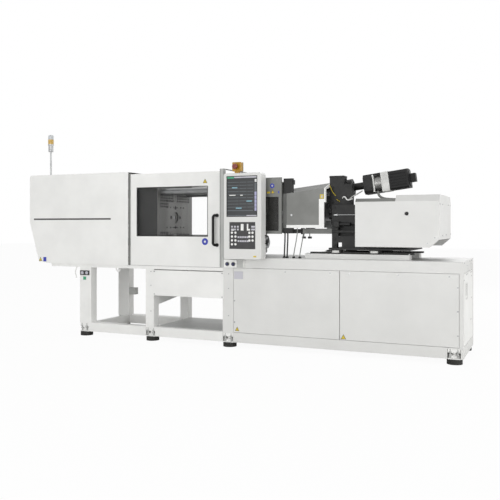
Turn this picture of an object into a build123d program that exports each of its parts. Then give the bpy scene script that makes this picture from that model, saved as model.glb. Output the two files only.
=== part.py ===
from build123d import *
import math
import os

# Injection moulding machine, in millimetres.
# +X runs from the clamp to the injection unit, the operator stands on the -Y side, +Z is up.
# The origin is on the floor below the middle of the whole machine.
# Lengths are chained from the seam between the clamp and the base, and heights from the base's top.

# Base
base_length = 2228
base_depth = 800
base_bottom_z = 46
base_top_z = 861
band_height = 94
fascia_height = 100
top_plate = 25
frame_wall = 40
end_post = 62
base_chamfer = 6

# Lengths along the clamp, from the seam to the left end of the hood
platen_offset = 11
mould_daylight = 766
moving_platen_thickness = 240
fixed_platen_thickness = 140
end_platen_thickness = 180
clamp_space = 672
cylinder_length = 380
hood_end_gap = 135

# Joint travel, the same as in the record
door_travel = 930
clamp_stroke = 480
carriage_stroke = 200
plunger_stroke = 120

clamp_length = (mould_daylight + moving_platen_thickness + clamp_space + end_platen_thickness + cylinder_length
                + hood_end_gap - platen_offset)
machine_length = clamp_length + base_length
right_x = machine_length / 2
left_x = right_x - machine_length
base_left_x = right_x - base_length
hood_proud = 15
stop_proud = 190
handle_reach = 60
whole_depth = stop_proud + base_depth + handle_reach
front_y = stop_proud - whole_depth / 2
back_y = front_y + base_depth
centre_y = front_y + base_depth / 2
band_top_z = base_bottom_z + band_height
fascia_z = base_top_z - fascia_height
inner_z = base_top_z - top_plate

# Welded stand under the clamp
post_depth = 95
stand_bay = 776
left_bay = 677
mid_post_width = 95
clamp_post_width = 146
hood_overhang = 380
base_post_width = 114
beam_height = 32
guard_drop = 104
seam = 0.3
mid_post_x = base_left_x - stand_bay - mid_post_width
clamp_post_x = mid_post_x - left_bay - clamp_post_width
guard_z = base_top_z - guard_drop
beam_z = guard_z - beam_height

# Levelling feet
foot_radius = 65
foot_height = 42
foot_chamfer = 5
jack_width = 110
jack_depth = 84
jack_bolt_radius = 12
jack_inset = 20
jack_plate = 10
jack_block = 24
jack_bolt_height = 22
jack_step = 9
jack_top_gap = 8

# Panels of the base
panel_thickness = 20
panel_gap = 3
sheet = 3
left_panel_share = 0.5046
panel_screw_radius = 7
panel_screw_height = 3
screw_edge = 12
screw_drop = 26
left_screw_share = [0.504, 0.915]
right_screw_share = [0.092, 0.508, 0.9215]
screw_column_rise = [101, 305, 505]
louvre_width = 180
louvre_height = 8
louvre_pitch = 22
louvre_count = 8
louvre_drop = 201
slot_length = 110
slot_setback = 150
outlet_setback = 90
outlet_rise = 46
outlet_width = 60
outlet_height = 68
outlet_hole = 7
outlet_pitch = 20
outlet_first = 14
outlet_count = 3

# Hood
hood_height = 958
hood_wall = 3
hood_corner = 26
hood_waist = 448
hood_knee_in = 127
hood_knee_rise = 14
hood_top_z = guard_z + hood_height
hood_waist_z = guard_z + hood_waist
hood_knee_x = left_x + hood_knee_in
hood_knee_z = guard_z + hood_knee_rise
hood_toe_x = clamp_post_x - hood_overhang

# Doors, windows and door posts
door_post_width = 46
door_post_depth = 36
door_post_overlap = 31
door_close_gap = 1
door_width = 1023
door_hood_gap = 19
door_sill_gap = 4
door_head_gap = 23
door_thickness = 32
window_margin = 74
window_handle_side = 129
window_rise = 295
window_height = 498
window_lap = 20
window_thickness = 6
handle_inset = 49
handle_rise = 202
handle_length = 313
handle_radius = 13
handle_foot = 9
handle_lean = 22
handle_bend = 24
handle_foot_lip = 4
track_offset = 10
track_width = 12
track_height = 33
track_end_gap = 6
track_margin = 54
glide_gap = 0.3
glide_length = 120
glide_inset = 60
glide_wall = 6
glide_overlap = 12
glide_rise = 30
door_post_x = base_left_x - door_post_overlap
door_right_x = door_post_x - door_close_gap
door_left_x = door_right_x - door_width
hood_right_x = door_left_x - door_hood_gap
door_bottom_z = guard_z + door_sill_gap
door_top_z = hood_top_z - door_head_gap
window_left_x = door_left_x + window_margin
window_width = door_width - window_margin - window_handle_side
window_bottom_z = door_bottom_z + window_rise
window_top_z = window_bottom_z + window_height
handle_x = door_right_x - handle_inset
handle_bottom_z = door_bottom_z + handle_rise
handle_top_z = handle_bottom_z + handle_length

# Clamp
axis_height = 389
platen_inset = 39
platen_height = 740
platen_chamfer = 12
platen_foot_inset = 40
bed_rise = 53
bed_width = 110
bed_end_gap = 17
bed_inset = 150
tie_bar_radius = 34
tie_bar_inset = 101
tie_bar_head = 60
nut_radius = 62
nut_height = 46
ram_radius = 115
ram_clearance = 0.05
ram_stop = 20
cylinder_radius = 165
cylinder_base = 16
cylinder_flange = 30
cylinder_flange_length = 24
cylinder_gap = 10
bush_clearance = 0.08
hole_pitch = 70
outer_hole_z = 300
mould_hole_radius = 9
mould_hole_depth = 40
locating_radius = 60
locating_depth = 12
nozzle_hole_radius = 75
ejector_radius = 25
ejector_length = 390
ejector_setback = 17
ejector_chamber_radius = 30
ejector_chamber = 320
ejector_chamfer = 3
shoe_height = 40
shoe_length = 200
shoe_setback = 20
way_width = 90
way_margin = 32
way_end_margin = 28
axis_z = base_top_z + axis_height
platen_width = base_depth - 2 * platen_inset
bed_pitch = base_depth - 2 * bed_inset
tie_bar_pitch = platen_width - 2 * tie_bar_inset
bed_top_z = guard_z + bed_rise
bed_left_x = hood_toe_x + bed_end_gap
fixed_platen_x = base_left_x + platen_offset
moving_platen_x = fixed_platen_x - mould_daylight
moving_back_x = moving_platen_x - moving_platen_thickness
end_platen_x = moving_back_x - clamp_space - end_platen_thickness
cylinder_end_x = end_platen_x - cylinder_length
ram_end_x = cylinder_end_x + ram_stop

# Light tower
tower_inset = 169
tower_setback = 130
tower_pole_radius = 9.5
tower_foot = 6
tower_radius = 31
tower_socket_step = 4
tower_socket_rise = 270
tower_ring_rise = 337
tower_lens_rise = 354
tower_cap_rise = 405
tower_rise = 457
tower_round = 18
tower_x = left_x + tower_inset
tower_y = front_y + tower_setback

# Operator panel
console_offset = 78
console_width = 383
console_height = 805
console_drop = 11
console_proud = 140
console_depth = 112
console_corner = 22
console_round = 5
console_post_width = 40
console_post_depth = 20
console_post_drop = 95
screen_inset = 30
screen_width = 315
screen_height = 382
screen_drop = 27
keypad_inset = 60
keypad_width = 265
keypad_height = 251
keypad_rise = 96
recess = 6
key_radius = 8.5
key_pitch = 36
key_first_x = 27
key_first_drop = 99
key_second_x = 178
key_second_pitch = 32
swivel_inset = 25
swivel_pin_radius = 8
swivel_clearance = 0.05
swivel_lug = 13
swivel_lug_height = 30
swivel_first_rise = 250
swivel_pitch = 300
swivel_pin_tail = 4
stop_box_inset = 90
stop_box_width = 88
stop_box_gap = 16
stop_box_height = 86
stop_box_depth = 45
stop_box_round = 6
stop_neck = 44
stop_neck_inset = 8
stop_head_radius = 25
stop_head_depth = 24
stop_head_round = 6
stop_stem_radius = 14
stop_stem_length = 20
stop_travel = 6
stop_bore_spare = 4
stop_reach = 50
button_box_offset = 33
button_box_width = 200
button_box_face = 132
button_box_step = 6
button_box_rise = 4
button_box_height = 72
button_box_depth = 42
button_radius = 17
button_rise = 33
button_first = 37
button_pitch = 63
button_reach = 14
button_travel = 4
button_stem = 20
button_spare = 2
button_round = 3
button_clearance = 0.3
console_x = base_left_x + console_offset
console_bottom_z = base_top_z - console_drop
console_top_z = console_bottom_z + console_height
console_front_y = front_y - console_proud
console_post_top_z = console_top_z - console_post_drop
screen_x = console_x + screen_inset
screen_top_z = console_top_z - screen_drop
screen_bottom_z = screen_top_z - screen_height
keypad_x = console_x + keypad_inset
keypad_bottom_z = console_bottom_z + keypad_rise
keypad_top_z = keypad_bottom_z + keypad_height
swivel_x = console_x + swivel_inset
swivel_first_z = console_bottom_z + swivel_first_rise
stop_box_x = console_x + stop_box_inset
stop_box_bottom_z = console_top_z + stop_box_gap
button_box_x = base_left_x + button_box_offset
button_box_z = fascia_z + button_box_rise
button_z = button_box_z + button_rise
button_first_x = button_box_x + button_first

# Injection carriage and its way
rail_inset = 150
rail_offset = 846
rail_end_margin = 97
rail_pad_height = 44
rail_pad_width = 110
rail_pad_short = 30
rail_pad_lead = 43
rail_height = 16
rail_width = 44
block_length = 90
block_height = 30
block_overlap = 8
block_width = 96
block_bore = 0.3
block_first = 20
block_spacing = 355
carriage_plate = 18
carriage_offset = 1033
carriage_length = 741
carriage_inset = 95
way_rail_y = base_depth / 2 - rail_inset
carriage_width = base_depth - 2 * carriage_inset
carriage_rail_x = base_left_x + rail_offset
carriage_x = base_left_x + carriage_offset
block_run = block_first + block_spacing + block_length
carriage_rail_end_x = carriage_x + block_run + carriage_stroke + rail_end_margin
carriage_end_x = carriage_x + carriage_length
rail_top_z = base_top_z + rail_pad_height + rail_height
plate_z = rail_top_z + block_height - block_overlap
unit_z = plate_z + carriage_plate

# Injection housing and its drive
unit_inset = 21
unit_length = 299
housing_inset = 130
unit_shoulder = 104
unit_window = 48
unit_window_inset = 46
unit_boss = 40
unit_boss_radius = 30
unit_pocket = 50
unit_pocket_edge = 60
unit_pocket_rise = 110
unit_pocket_drop = 70
unit_leg = 60
head_height = 192
head_lead = 41
head_slab_length = 210
head_slab_inset = 65
head_slab_depth = 80
head_core_length = 96
head_core_half = 75
head_lip = 30
terminal_width = 136
terminal_height = 76
terminal_depth = 100
disc_gap = 54
disc_thickness = 62
disc_radius = 125
disc_neck_radius = 107
barrel_radius = 52
band_thickness = 6
band_length = 50
band_pitch = 62
band_count = 8
band_first = 20
nozzle_gap = 6
nozzle_length = 96
nozzle_tip_radius = 14
plunger_radius = 16
plunger_clearance = 0.05
plunger_setback = 146
plunger_gap = 15
plunger_plate = 25
plunger_plate_half = 150
plunger_plate_rise = 70
plunger_rod_radius = 40
plunger_rod_length = 180
drive_length = 210
drive_radius = 85
drive_bore_radius = 60
drive_gland = 15
drive_base = 10
drive_gap = 10
bulkhead_thickness = 30
bulkhead_rise = 110
bulkhead_foot = 20
tie_rod_radius = 14
tie_rod_inset = 70
unit_half_width = base_depth / 2 - housing_inset
tie_rod_y = unit_half_width - tie_rod_inset
unit_front_x = carriage_x + unit_inset
unit_back_x = unit_front_x + unit_length
unit_shoulder_z = axis_z + unit_shoulder
unit_head_z = unit_shoulder_z + head_height
unit_head_front_x = unit_front_x - head_lead
unit_window_x = unit_front_x + unit_window_inset
disc_x = unit_front_x - disc_gap - disc_thickness
nozzle_x = fixed_platen_x + nozzle_gap
nozzle_end_x = nozzle_x + nozzle_length
plunger_tip_x = nozzle_x + plunger_setback
plunger_plate_x = unit_back_x + plunger_gap
plunger_rod_end_x = plunger_plate_x + plunger_plate + plunger_rod_length
drive_x = plunger_plate_x + plunger_plate + plunger_stroke + drive_gap
bulkhead_x = drive_x + drive_length
bulkhead_top_z = axis_z + bulkhead_rise

# Inclined feed screw and its motor
incline = 7.7
screw_axis_lead = 288
screw_axis_drop = 3
feed_barrel_radius = 36
feed_barrel_length = 630
feed_band = 5
feed_band_length = 42
feed_band_pitch = 52
feed_band_first = 110
feed_band_count = 5
feed_tip_wall = 30
screw_radius = 13
screw_clearance = 0.05
screw_tip_gap = 4
screw_drive_gap = 20
neck_radius = 34
neck_length = 118
neck_flange_radius = 80
neck_flange = 78
neck_flange_wall = 20
gearbox_size = 175
gearbox_length = 87
gearbox_corner = 26
gearbox_bore_end = 16
gearbox_lid = 10
lantern_size = 160
lantern_length = 83
lantern_flange = 14
lantern_step = 8
lantern_rib = 4
lantern_rib_first = 32
lantern_rib_pitch = 9
lantern_rib_count = 5
adapter_size = 178
adapter_length = 70
motor_size = 172
motor_length = 176
motor_corner = 14
motor_fin_depth = 9
motor_fin_gap = 11
motor_fin_pitch = 26
motor_fin_end = 16
encoder_size = 78
encoder_length = 57
melt_block_inset = 4
melt_block_length = 80
melt_block_half = 60
melt_block_rise = 100
melt_block_step = 20
melt_block_drop = 90
melt_space = 10
screw_axis_x = unit_head_front_x + screw_axis_lead
screw_axis_z = unit_head_z - screw_axis_drop
melt_block_x = screw_axis_x - math.cos(math.radians(incline)) * feed_barrel_length - melt_block_inset

# Covers of the injection unit
shroud_gap = 7
shroud_width = 88
shroud_column = 42
shroud_drop = 159
shroud_rise = 356
shroud_back_rise = 205
shroud_sill = 40
shroud_bump = 12
shroud_bump_low = 58
shroud_bump_high = 16
shroud_round = 6
tunnel_inset = 29
tunnel_flange = 32
tunnel_head_gap = 11
tunnel_set_in = 60
tunnel_wall = 3
tunnel_bottom_drop = 80
tunnel_lip_drop = 107
tunnel_edge_rise = 214
tunnel_climb = 44
tunnel_shoulder = 190
tunnel_rise = 56
frame_band = 50
frame_band_rise = 158
frame_border = 30
frame_proud = 2
cover_lap = 57
cover_length = 732
cover_step = 357
cover_set_in = 40
cover_gap = 14
cover_side = 125
cover_low = 154
cover_top = 182
cover_bevel = 45
cover_toe = 78
cover_toe_rise = 70
cover_wall = 3
cover_hole_x = 457
cover_hole_rise = 18
cover_hole_radius = 14
purge_set_in = 30
purge_drop = 163
purge_rise = 362
purge_wall = 4
purge_length = 597
purge_open_length = 209
purge_end_post = 14
purge_nut_gap = 66
purge_end_lip = 16
purge_lip = 26
purge_door_width = 379
purge_door_thickness = 5
purge_hook = 12
purge_hook_thickness = 3
purge_window_inset = 28
purge_window_width = 236
purge_window_drop = 134
purge_window_rise = 184
purge_window_thickness = 3
tunnel_half = base_depth / 2 - tunnel_set_in
cover_half = base_depth / 2 - cover_set_in
purge_half = base_depth / 2 - purge_set_in
purge_end_x = base_left_x + purge_length
purge_door_x = purge_end_x - purge_door_width
purge_window_x = purge_end_x - purge_window_inset - purge_window_width
purge_bottom_z = axis_z - purge_drop
purge_top_z = axis_z + purge_rise
purge_window_bottom_z = axis_z - purge_window_drop
purge_window_top_z = axis_z + purge_window_rise
shroud_x = purge_end_x + shroud_gap
shroud_bottom_z = axis_z - shroud_drop
shroud_top_z = axis_z + shroud_rise
tunnel_x = shroud_x + tunnel_inset
tunnel_end_x = unit_head_front_x - tunnel_head_gap
tunnel_bottom_z = axis_z - tunnel_bottom_drop
tunnel_lip_z = axis_z - tunnel_lip_drop
tunnel_edge_z = axis_z + tunnel_edge_rise
tunnel_slope = tunnel_climb / (tunnel_end_x - tunnel_x)
cover_x = unit_back_x - cover_lap
cover_step_x = cover_x + cover_step
cover_end_x = cover_x + cover_length
cover_bottom_z = unit_z + cover_gap
cover_side_z = axis_z + cover_side
cover_low_z = axis_z + cover_low
cover_top_z = axis_z + cover_top

# Chute, tray, touch cylinder, leads and small fittings
chute_panel_drop = 265
chute_panel_top_gap = 9
chute_panel_lap = 8
chute_drop = 364
chute_slant = 70
chute_screw_in = 10
chute_screw_low = 22
chute_screw_high = 26
tray_thickness = 3
touch_offset = 215
touch_drop = 138
touch_half = 24
touch_cap = 14
touch_cap_step = 2
touch_inset = 127
touch_length = 209
lead_setback = 73
lead_radius = 7
lead_first = 11
lead_pitch = 28
lead_slant = 7
lead_trim = 20
hose_setback = 74
hose_radius = 4
hose_first = 104
hose_pitch = 60
hose_slant = 36
rating_plate_inset = 10
rating_plate_drop = 34
rating_plate_width = 91
rating_plate_height = 72
plate_thickness = 2
socket_plate_inset = 6
socket_plate_width = 120
socket_plate_height = 50
socket_plate_drop = 35
socket_plate_thickness = 6
post_box_width = 84
post_box_depth = 60
post_box_height = 78
post_box_drop = 273

os.makedirs("parts", exist_ok=True)


# A rectangular solid between two corners
def block(x0, x1, y0, y1, z0, z1, mode=Mode.ADD):
    with Locations(((x0 + x1) / 2, (y0 + y1) / 2, (z0 + z1) / 2)):
        Box(abs(x1 - x0), abs(y1 - y0), abs(z1 - z0), mode=mode)


# A round bar or bore along X, from x0 to x1
def rod_x(x0, x1, y, z, radius, mode=Mode.ADD):
    with Locations(Location((x0, y, z), (0, 90, 0))):
        Cylinder(radius, x1 - x0, align=(Align.CENTER, Align.CENTER, Align.MIN), mode=mode)


# A round bar or bore along Y, from y0 to y1
def rod_y(x, y0, y1, z, radius, mode=Mode.ADD):
    with Locations(Location((x, y0, z), (-90, 0, 0))):
        Cylinder(radius, y1 - y0, align=(Align.CENTER, Align.CENTER, Align.MIN), mode=mode)


# A round bar or bore along Z, from z0 to z1
def rod_z(x, y, z0, z1, radius, mode=Mode.ADD):
    with Locations((x, y, z0)):
        Cylinder(radius, z1 - z0, align=(Align.CENTER, Align.CENTER, Align.MIN), mode=mode)


# The piece gets its name and its own file
def keep(piece, name):
    piece.part.label = name
    export_step(piece.part, "parts/" + name + ".step")
    print(name, len(piece.part.solids()), round(piece.part.volume / 1000))


# A round foot, jack or bar stands at the middle of each jack
jack_left_x = [clamp_post_x, mid_post_x, base_left_x, right_x - jack_width - jack_inset]
jack_low_y = [front_y, back_y - post_depth]
jack_top_z = band_top_z - jack_top_gap
mirror_sides = (-1, 1)


# A depth measured inwards from the front face, or from the back face on the far side
def inwards(side, depth):
    return front_y + depth if side < 0 else back_y - depth


# Cuts the pockets in which the levelling jacks stand
def jack_pockets():
    for x0 in jack_left_x:
        for y0 in jack_low_y:
            block(x0, x0 + jack_width, y0, y0 + post_depth, base_bottom_z, jack_top_z, Mode.SUBTRACT)


# Stand under the clamp: four posts, low rails, and the beams that carry the clamp
with BuildPart() as clamp_stand:
    for y0 in jack_low_y:
        y1 = y0 + post_depth
        block(clamp_post_x, clamp_post_x + clamp_post_width, y0, y1, jack_top_z, beam_z)
        block(mid_post_x, mid_post_x + mid_post_width, y0, y1, base_bottom_z, beam_z)
        block(clamp_post_x + jack_width, base_left_x, y0, y1, base_bottom_z, band_top_z)
        block(hood_toe_x, base_left_x, y0, y1, beam_z, guard_z)
    for x0 in (hood_toe_x, mid_post_x, base_left_x - post_depth):
        block(x0, x0 + post_depth, front_y, back_y, beam_z, guard_z)
    for x0 in (clamp_post_x + jack_width, mid_post_x + jack_width):
        block(x0, x0 + frame_wall, front_y, back_y, base_bottom_z, band_top_z)
    jack_pockets()
keep(clamp_stand, "clamp_stand")

# Bed beams that the platens stand on, with hardened ways for the moving one
platen_bottom_z = axis_z - platen_height / 2
with BuildPart() as clamp_bed:
    for side in mirror_sides:
        y_mid = centre_y + side * bed_pitch / 2
        block(bed_left_x, base_left_x, y_mid - bed_width / 2, y_mid + bed_width / 2, guard_z, bed_top_z)
        block(moving_back_x - way_margin, moving_platen_x + clamp_stroke + way_end_margin,
              y_mid - way_width / 2, y_mid + way_width / 2, bed_top_z, platen_bottom_z - shoe_height - glide_gap)
    for x0 in (bed_left_x, moving_back_x, base_left_x - bed_width):
        block(x0, x0 + bed_width, centre_y - bed_pitch / 2, centre_y + bed_pitch / 2, guard_z, bed_top_z)
keep(clamp_bed, "clamp_bed")

# Frame of the base: a welded box with openings for its panels
opening_left_x = base_left_x + base_post_width
opening_right_x = right_x - end_post / 2
panel_split_x = opening_left_x + left_panel_share * (opening_right_x - opening_left_x)
panel_fields = [(opening_left_x, panel_split_x), (panel_split_x, opening_right_x)]
with BuildPart() as base_frame:
    block(base_left_x, right_x, front_y, back_y, base_bottom_z, base_top_z)
    block(base_left_x + frame_wall, right_x - frame_wall, front_y + frame_wall, back_y - frame_wall,
          base_bottom_z + frame_wall, inner_z, Mode.SUBTRACT)
    for side in mirror_sides:
        block(opening_left_x, opening_right_x, inwards(side, 0), inwards(side, panel_thickness),
              band_top_z, fascia_z, Mode.SUBTRACT)
        for x0, x1 in panel_fields:
            block(x0 + frame_wall, x1 - frame_wall, inwards(side, 0), inwards(side, frame_wall),
                  band_top_z + frame_wall, fascia_z - frame_wall, Mode.SUBTRACT)
    block(right_x - panel_thickness, right_x, front_y + end_post, back_y - end_post,
          band_top_z, fascia_z, Mode.SUBTRACT)
    block(right_x - frame_wall, right_x, front_y + end_post + frame_wall, back_y - end_post - frame_wall,
          band_top_z + frame_wall, fascia_z - frame_wall, Mode.SUBTRACT)
    jack_pockets()
    top_edges = base_frame.edges().filter_by(Axis.X).group_by(Axis.Z)[-1]
    chamfer(top_edges.filter_by(lambda edge: edge.length > base_length / 2), base_chamfer)
keep(base_frame, "base_frame")

# Levelling jacks: a foot plate, a screw and a bracket in each corner pocket
with BuildPart() as levelling_jacks:
    for x0 in jack_left_x:
        for y0 in jack_low_y:
            low = y0 + (post_depth - jack_depth) / 2
            plate_top = foot_height + jack_plate
            block_top = plate_top + jack_block
            head_top = block_top + jack_bolt_height
            block(x0 + panel_gap, x0 + jack_width - panel_gap, low, low + jack_depth, foot_height, plate_top)
            block(x0 + panel_gap + jack_step, x0 + jack_width - panel_gap - jack_step, low + jack_step,
                  low + jack_depth - jack_step, plate_top, block_top)
            rod_z(x0 + jack_width / 2, y0 + post_depth / 2, block_top, head_top, jack_bolt_radius * 2)
            block(x0 + panel_gap, x0 + jack_width - panel_gap, low, low + jack_depth, head_top, jack_top_z)
keep(levelling_jacks, "levelling_jacks")

# Rubber feet
with BuildPart() as rubber_feet:
    for x0 in jack_left_x:
        for y0 in jack_low_y:
            rod_z(x0 + jack_width / 2, y0 + post_depth / 2, 0, foot_height, foot_radius)
    chamfer(rubber_feet.edges().group_by(Axis.Z)[-1], foot_chamfer)
keep(rubber_feet, "rubber_feet")


# A cover panel of the base with folded-in ribs on its back
def cover_panel(side, x0, x1):
    block(x0 + panel_gap, x1 - panel_gap, inwards(side, 0), inwards(side, sheet),
          band_top_z + panel_gap, fascia_z - panel_gap)
    for low, high in ((x0 + panel_gap, x0 + frame_wall / 2), (x1 - frame_wall / 2, x1 - panel_gap)):
        block(low, high, inwards(side, sheet), inwards(side, panel_thickness),
              band_top_z + panel_gap, fascia_z - panel_gap)
    for low, high in ((band_top_z + panel_gap, band_top_z + frame_wall / 2),
                      (fascia_z - frame_wall / 2, fascia_z - panel_gap)):
        block(x0 + frame_wall / 2, x1 - frame_wall / 2, inwards(side, sheet), inwards(side, panel_thickness),
              low, high)


with BuildPart() as front_panels:
    for x0, x1 in panel_fields:
        cover_panel(-1, x0, x1)
keep(front_panels, "front_panels")

# Rear panels carry a field of cooling slots
louvre_z = fascia_z - louvre_drop
with BuildPart() as rear_panels:
    for x0, x1 in panel_fields:
        cover_panel(1, x0, x1)
        for row in range(louvre_count):
            z0 = louvre_z + row * louvre_pitch
            for x_mid in (x0 + (x1 - x0) / 3, x1 - (x1 - x0) / 3):
                block(x_mid - louvre_width / 2, x_mid + louvre_width / 2, back_y - sheet, back_y,
                      z0, z0 + louvre_height, Mode.SUBTRACT)
keep(rear_panels, "rear_panels")

# End panel with its slots and the cable outlet
outlet_y = front_y + outlet_setback
outlet_z = band_top_z + outlet_rise
with BuildPart() as end_panel:
    block(right_x - panel_thickness, right_x, front_y + end_post + panel_gap,
          back_y - end_post - panel_gap, band_top_z + panel_gap, fascia_z - panel_gap)
    block(right_x - panel_thickness, right_x - sheet, front_y + end_post + frame_wall,
          back_y - end_post - frame_wall, band_top_z + frame_wall, fascia_z - frame_wall, Mode.SUBTRACT)
    for row in range(louvre_count):
        y0 = front_y + slot_setback + row * louvre_pitch
        block(right_x - panel_thickness, right_x, y0, y0 + louvre_height, louvre_z, louvre_z + slot_length,
              Mode.SUBTRACT)
    block(right_x - panel_thickness, right_x, outlet_y, outlet_y + outlet_width, outlet_z,
          outlet_z + outlet_height)
    for row in range(outlet_count):
        rod_x(right_x - panel_thickness / 2, right_x, outlet_y + outlet_width / 2,
              outlet_z + outlet_first + row * outlet_pitch, outlet_hole, Mode.SUBTRACT)
keep(end_panel, "end_panel")

# Button-head screws of the base panels: a row along the top, and a column at either end
screw_row_x = [opening_left_x + share * (panel_split_x - opening_left_x) for share in left_screw_share]
screw_row_x += [panel_split_x + share * (opening_right_x - panel_split_x) for share in right_screw_share]
screw_column_z = [band_top_z + rise for rise in screw_column_rise]
with BuildPart() as panel_screws:
    screw_places = [(x_screw, fascia_z - screw_drop) for x_screw in screw_row_x]
    screw_places += [(opening_left_x + screw_edge, z_screw) for z_screw in screw_column_z[:2]]
    screw_places += [(opening_right_x - screw_edge, z_screw) for z_screw in screw_column_z]
    for x_screw, z_screw in screw_places:
        rod_y(x_screw, front_y - panel_screw_height, front_y, z_screw, panel_screw_radius)
        rod_y(x_screw, back_y, back_y + panel_screw_height, z_screw, panel_screw_radius)
keep(panel_screws, "panel_screws")

# Sheet tray between the low rails, where the moulded parts are collected
with BuildPart() as floor_tray:
    block(mid_post_x + mid_post_width + panel_gap, base_left_x - panel_gap, front_y + post_depth - frame_wall,
          back_y - post_depth + frame_wall, band_top_z, band_top_z + tray_thickness)
keep(floor_tray, "floor_tray")

# Parts chute: two side walls and a back wall, open at the bottom, and a plate screwed over the posts
chute_left_x = mid_post_x + mid_post_width
chute_low_z = beam_z - chute_drop
chute_panel_x = chute_left_x - panel_gap
chute_panel_low_z = beam_z - chute_panel_drop
chute_panel_high_z = beam_z - chute_panel_top_gap
with BuildPart() as parts_chute:
    for x0 in (chute_left_x, base_left_x - sheet):
        with BuildSketch(Plane.YZ.offset(x0)):
            with BuildLine():
                Polyline(
                    (front_y + post_depth, beam_z),
                    (front_y + post_depth, chute_low_z),
                    (back_y - post_depth, chute_low_z + chute_slant),
                    (back_y - post_depth, beam_z),
                    close=True,
                )
            make_face()
        extrude(amount=sheet)
    block(chute_left_x, base_left_x, back_y - post_depth - sheet, back_y - post_depth,
          chute_low_z + chute_slant, beam_z)
    block(chute_panel_x, base_left_x + chute_panel_lap, front_y - sheet, front_y, chute_panel_low_z,
          chute_panel_high_z)
    for x_screw in (chute_panel_x + chute_screw_in, base_left_x - chute_panel_lap):
        for z_screw in (chute_panel_low_z + chute_screw_low, chute_panel_high_z - chute_screw_high):
            rod_y(x_screw, front_y - sheet - panel_screw_height, front_y - sheet, z_screw, panel_screw_radius)
keep(parts_chute, "parts_chute")


# Hood outline seen from the front, shrunk by a wall
def hood_solid(wall, y0, y1, mode):
    with BuildSketch(Plane.XZ.offset(-y0)) as outline:
        with BuildLine():
            Polyline(
                (left_x + wall, hood_top_z - wall),
                (left_x + wall, hood_waist_z + wall * 0.2),
                (hood_knee_x + wall, hood_knee_z + wall * 0.6),
                (hood_toe_x + wall * 5, guard_z),
                (hood_right_x, guard_z),
                (hood_right_x, hood_top_z - wall),
                close=True,
            )
        make_face()
        corner = outline.vertices().group_by(Axis.X)[0].sort_by(Axis.Y)[-1]
        fillet(corner, hood_corner - wall)
    extrude(outline.sketch, amount=-(y1 - y0), mode=mode)


# Hood over the clamp: a folded and welded sheet shell, open towards the doors and below
hood_low_y = front_y - hood_proud
hood_high_y = back_y + hood_proud
with BuildPart() as clamp_hood:
    hood_solid(0, hood_low_y, hood_high_y, Mode.ADD)
    hood_solid(hood_wall, hood_low_y + hood_wall, hood_high_y - hood_wall, Mode.SUBTRACT)
    for side in mirror_sides:
        block(hood_toe_x, hood_right_x, inwards(side, -hood_proud), inwards(side, track_offset / 2),
              guard_z, guard_z + hood_wall)
keep(clamp_hood, "clamp_hood")

# Posts at the closing edge of the doors, with the bracket that ties them to the base
with BuildPart() as door_posts:
    for side in mirror_sides:
        block(door_post_x, door_post_x + door_post_width, inwards(side, 0), inwards(side, door_post_depth),
              base_top_z, hood_top_z)
        block(door_post_x, base_left_x, inwards(side, 0), inwards(side, door_post_depth), guard_z, base_top_z)
    block(door_post_x, door_post_x + door_post_width, front_y, back_y, hood_top_z - sheet, hood_top_z)
keep(door_posts, "door_posts")

# Tracks that the doors run on
with BuildPart() as door_tracks:
    for side in mirror_sides:
        block(door_left_x + glide_inset - door_travel - track_margin, door_post_x - track_end_gap,
              inwards(side, track_offset), inwards(side, track_offset + track_width), guard_z, guard_z + track_height)
keep(door_tracks, "door_tracks")


# A sliding door: folded tray with a window hole
def door_tray(side):
    block(door_left_x, door_right_x, inwards(side, 0), inwards(side, sheet), door_bottom_z, door_top_z)
    flange_bottom = guard_z + track_height + 2 * panel_gap
    for low in (door_left_x, door_right_x - sheet):
        block(low, low + sheet, inwards(side, sheet), inwards(side, door_thickness), flange_bottom, door_top_z)
    block(door_left_x + sheet, door_right_x - sheet, inwards(side, sheet), inwards(side, door_thickness),
          door_top_z - sheet, door_top_z)
    block(window_left_x, window_left_x + window_width, inwards(side, 0), inwards(side, sheet),
          window_bottom_z, window_top_z, Mode.SUBTRACT)


# Clear pane behind the window hole
def door_pane(side):
    block(window_left_x - window_lap, window_left_x + window_width + window_lap,
          inwards(side, sheet), inwards(side, sheet + window_thickness),
          window_bottom_z - window_lap, window_top_z + window_lap)


# Glide shoes that straddle the track
def door_glides(side):
    track_top = guard_z + track_height
    for x0 in (door_left_x + glide_inset, door_right_x - glide_inset - glide_length):
        block(x0, x0 + glide_length, inwards(side, sheet), inwards(side, track_offset + track_width + glide_wall),
              track_top - glide_overlap, track_top + glide_rise)
        block(x0, x0 + glide_length, inwards(side, track_offset - glide_gap),
              inwards(side, track_offset + track_width + glide_gap), track_top - glide_overlap,
              track_top + glide_gap, Mode.SUBTRACT)


# Bow handle: a bent bar on two round feet
def bow_handle(side):
    face = inwards(side, 0)
    out = inwards(side, handle_radius - handle_reach)
    foot_x = handle_x + handle_lean
    low_z = handle_bottom_z + handle_radius
    high_z = handle_top_z - handle_radius
    with BuildLine() as bow:
        FilletPolyline(
            (foot_x, face, low_z),
            (handle_x, out, low_z),
            (handle_x, out, high_z),
            (foot_x, face, high_z),
            radius=handle_bend,
        )
    start = Plane(origin=bow.line @ 0, z_dir=bow.line % 0)
    with BuildSketch(start) as section:
        Circle(handle_radius)
    sweep(section.sketch, path=bow.line)
    for z_foot in (low_z, high_z):
        low = min(face, inwards(side, -handle_foot))
        rod_y(foot_x, low, low + handle_foot, z_foot, handle_radius + handle_foot_lip)
    block(handle_x - handle_reach, foot_x + handle_reach, face, inwards(side, handle_reach),
          handle_bottom_z - handle_reach, handle_top_z + handle_reach, Mode.SUBTRACT)


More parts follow.
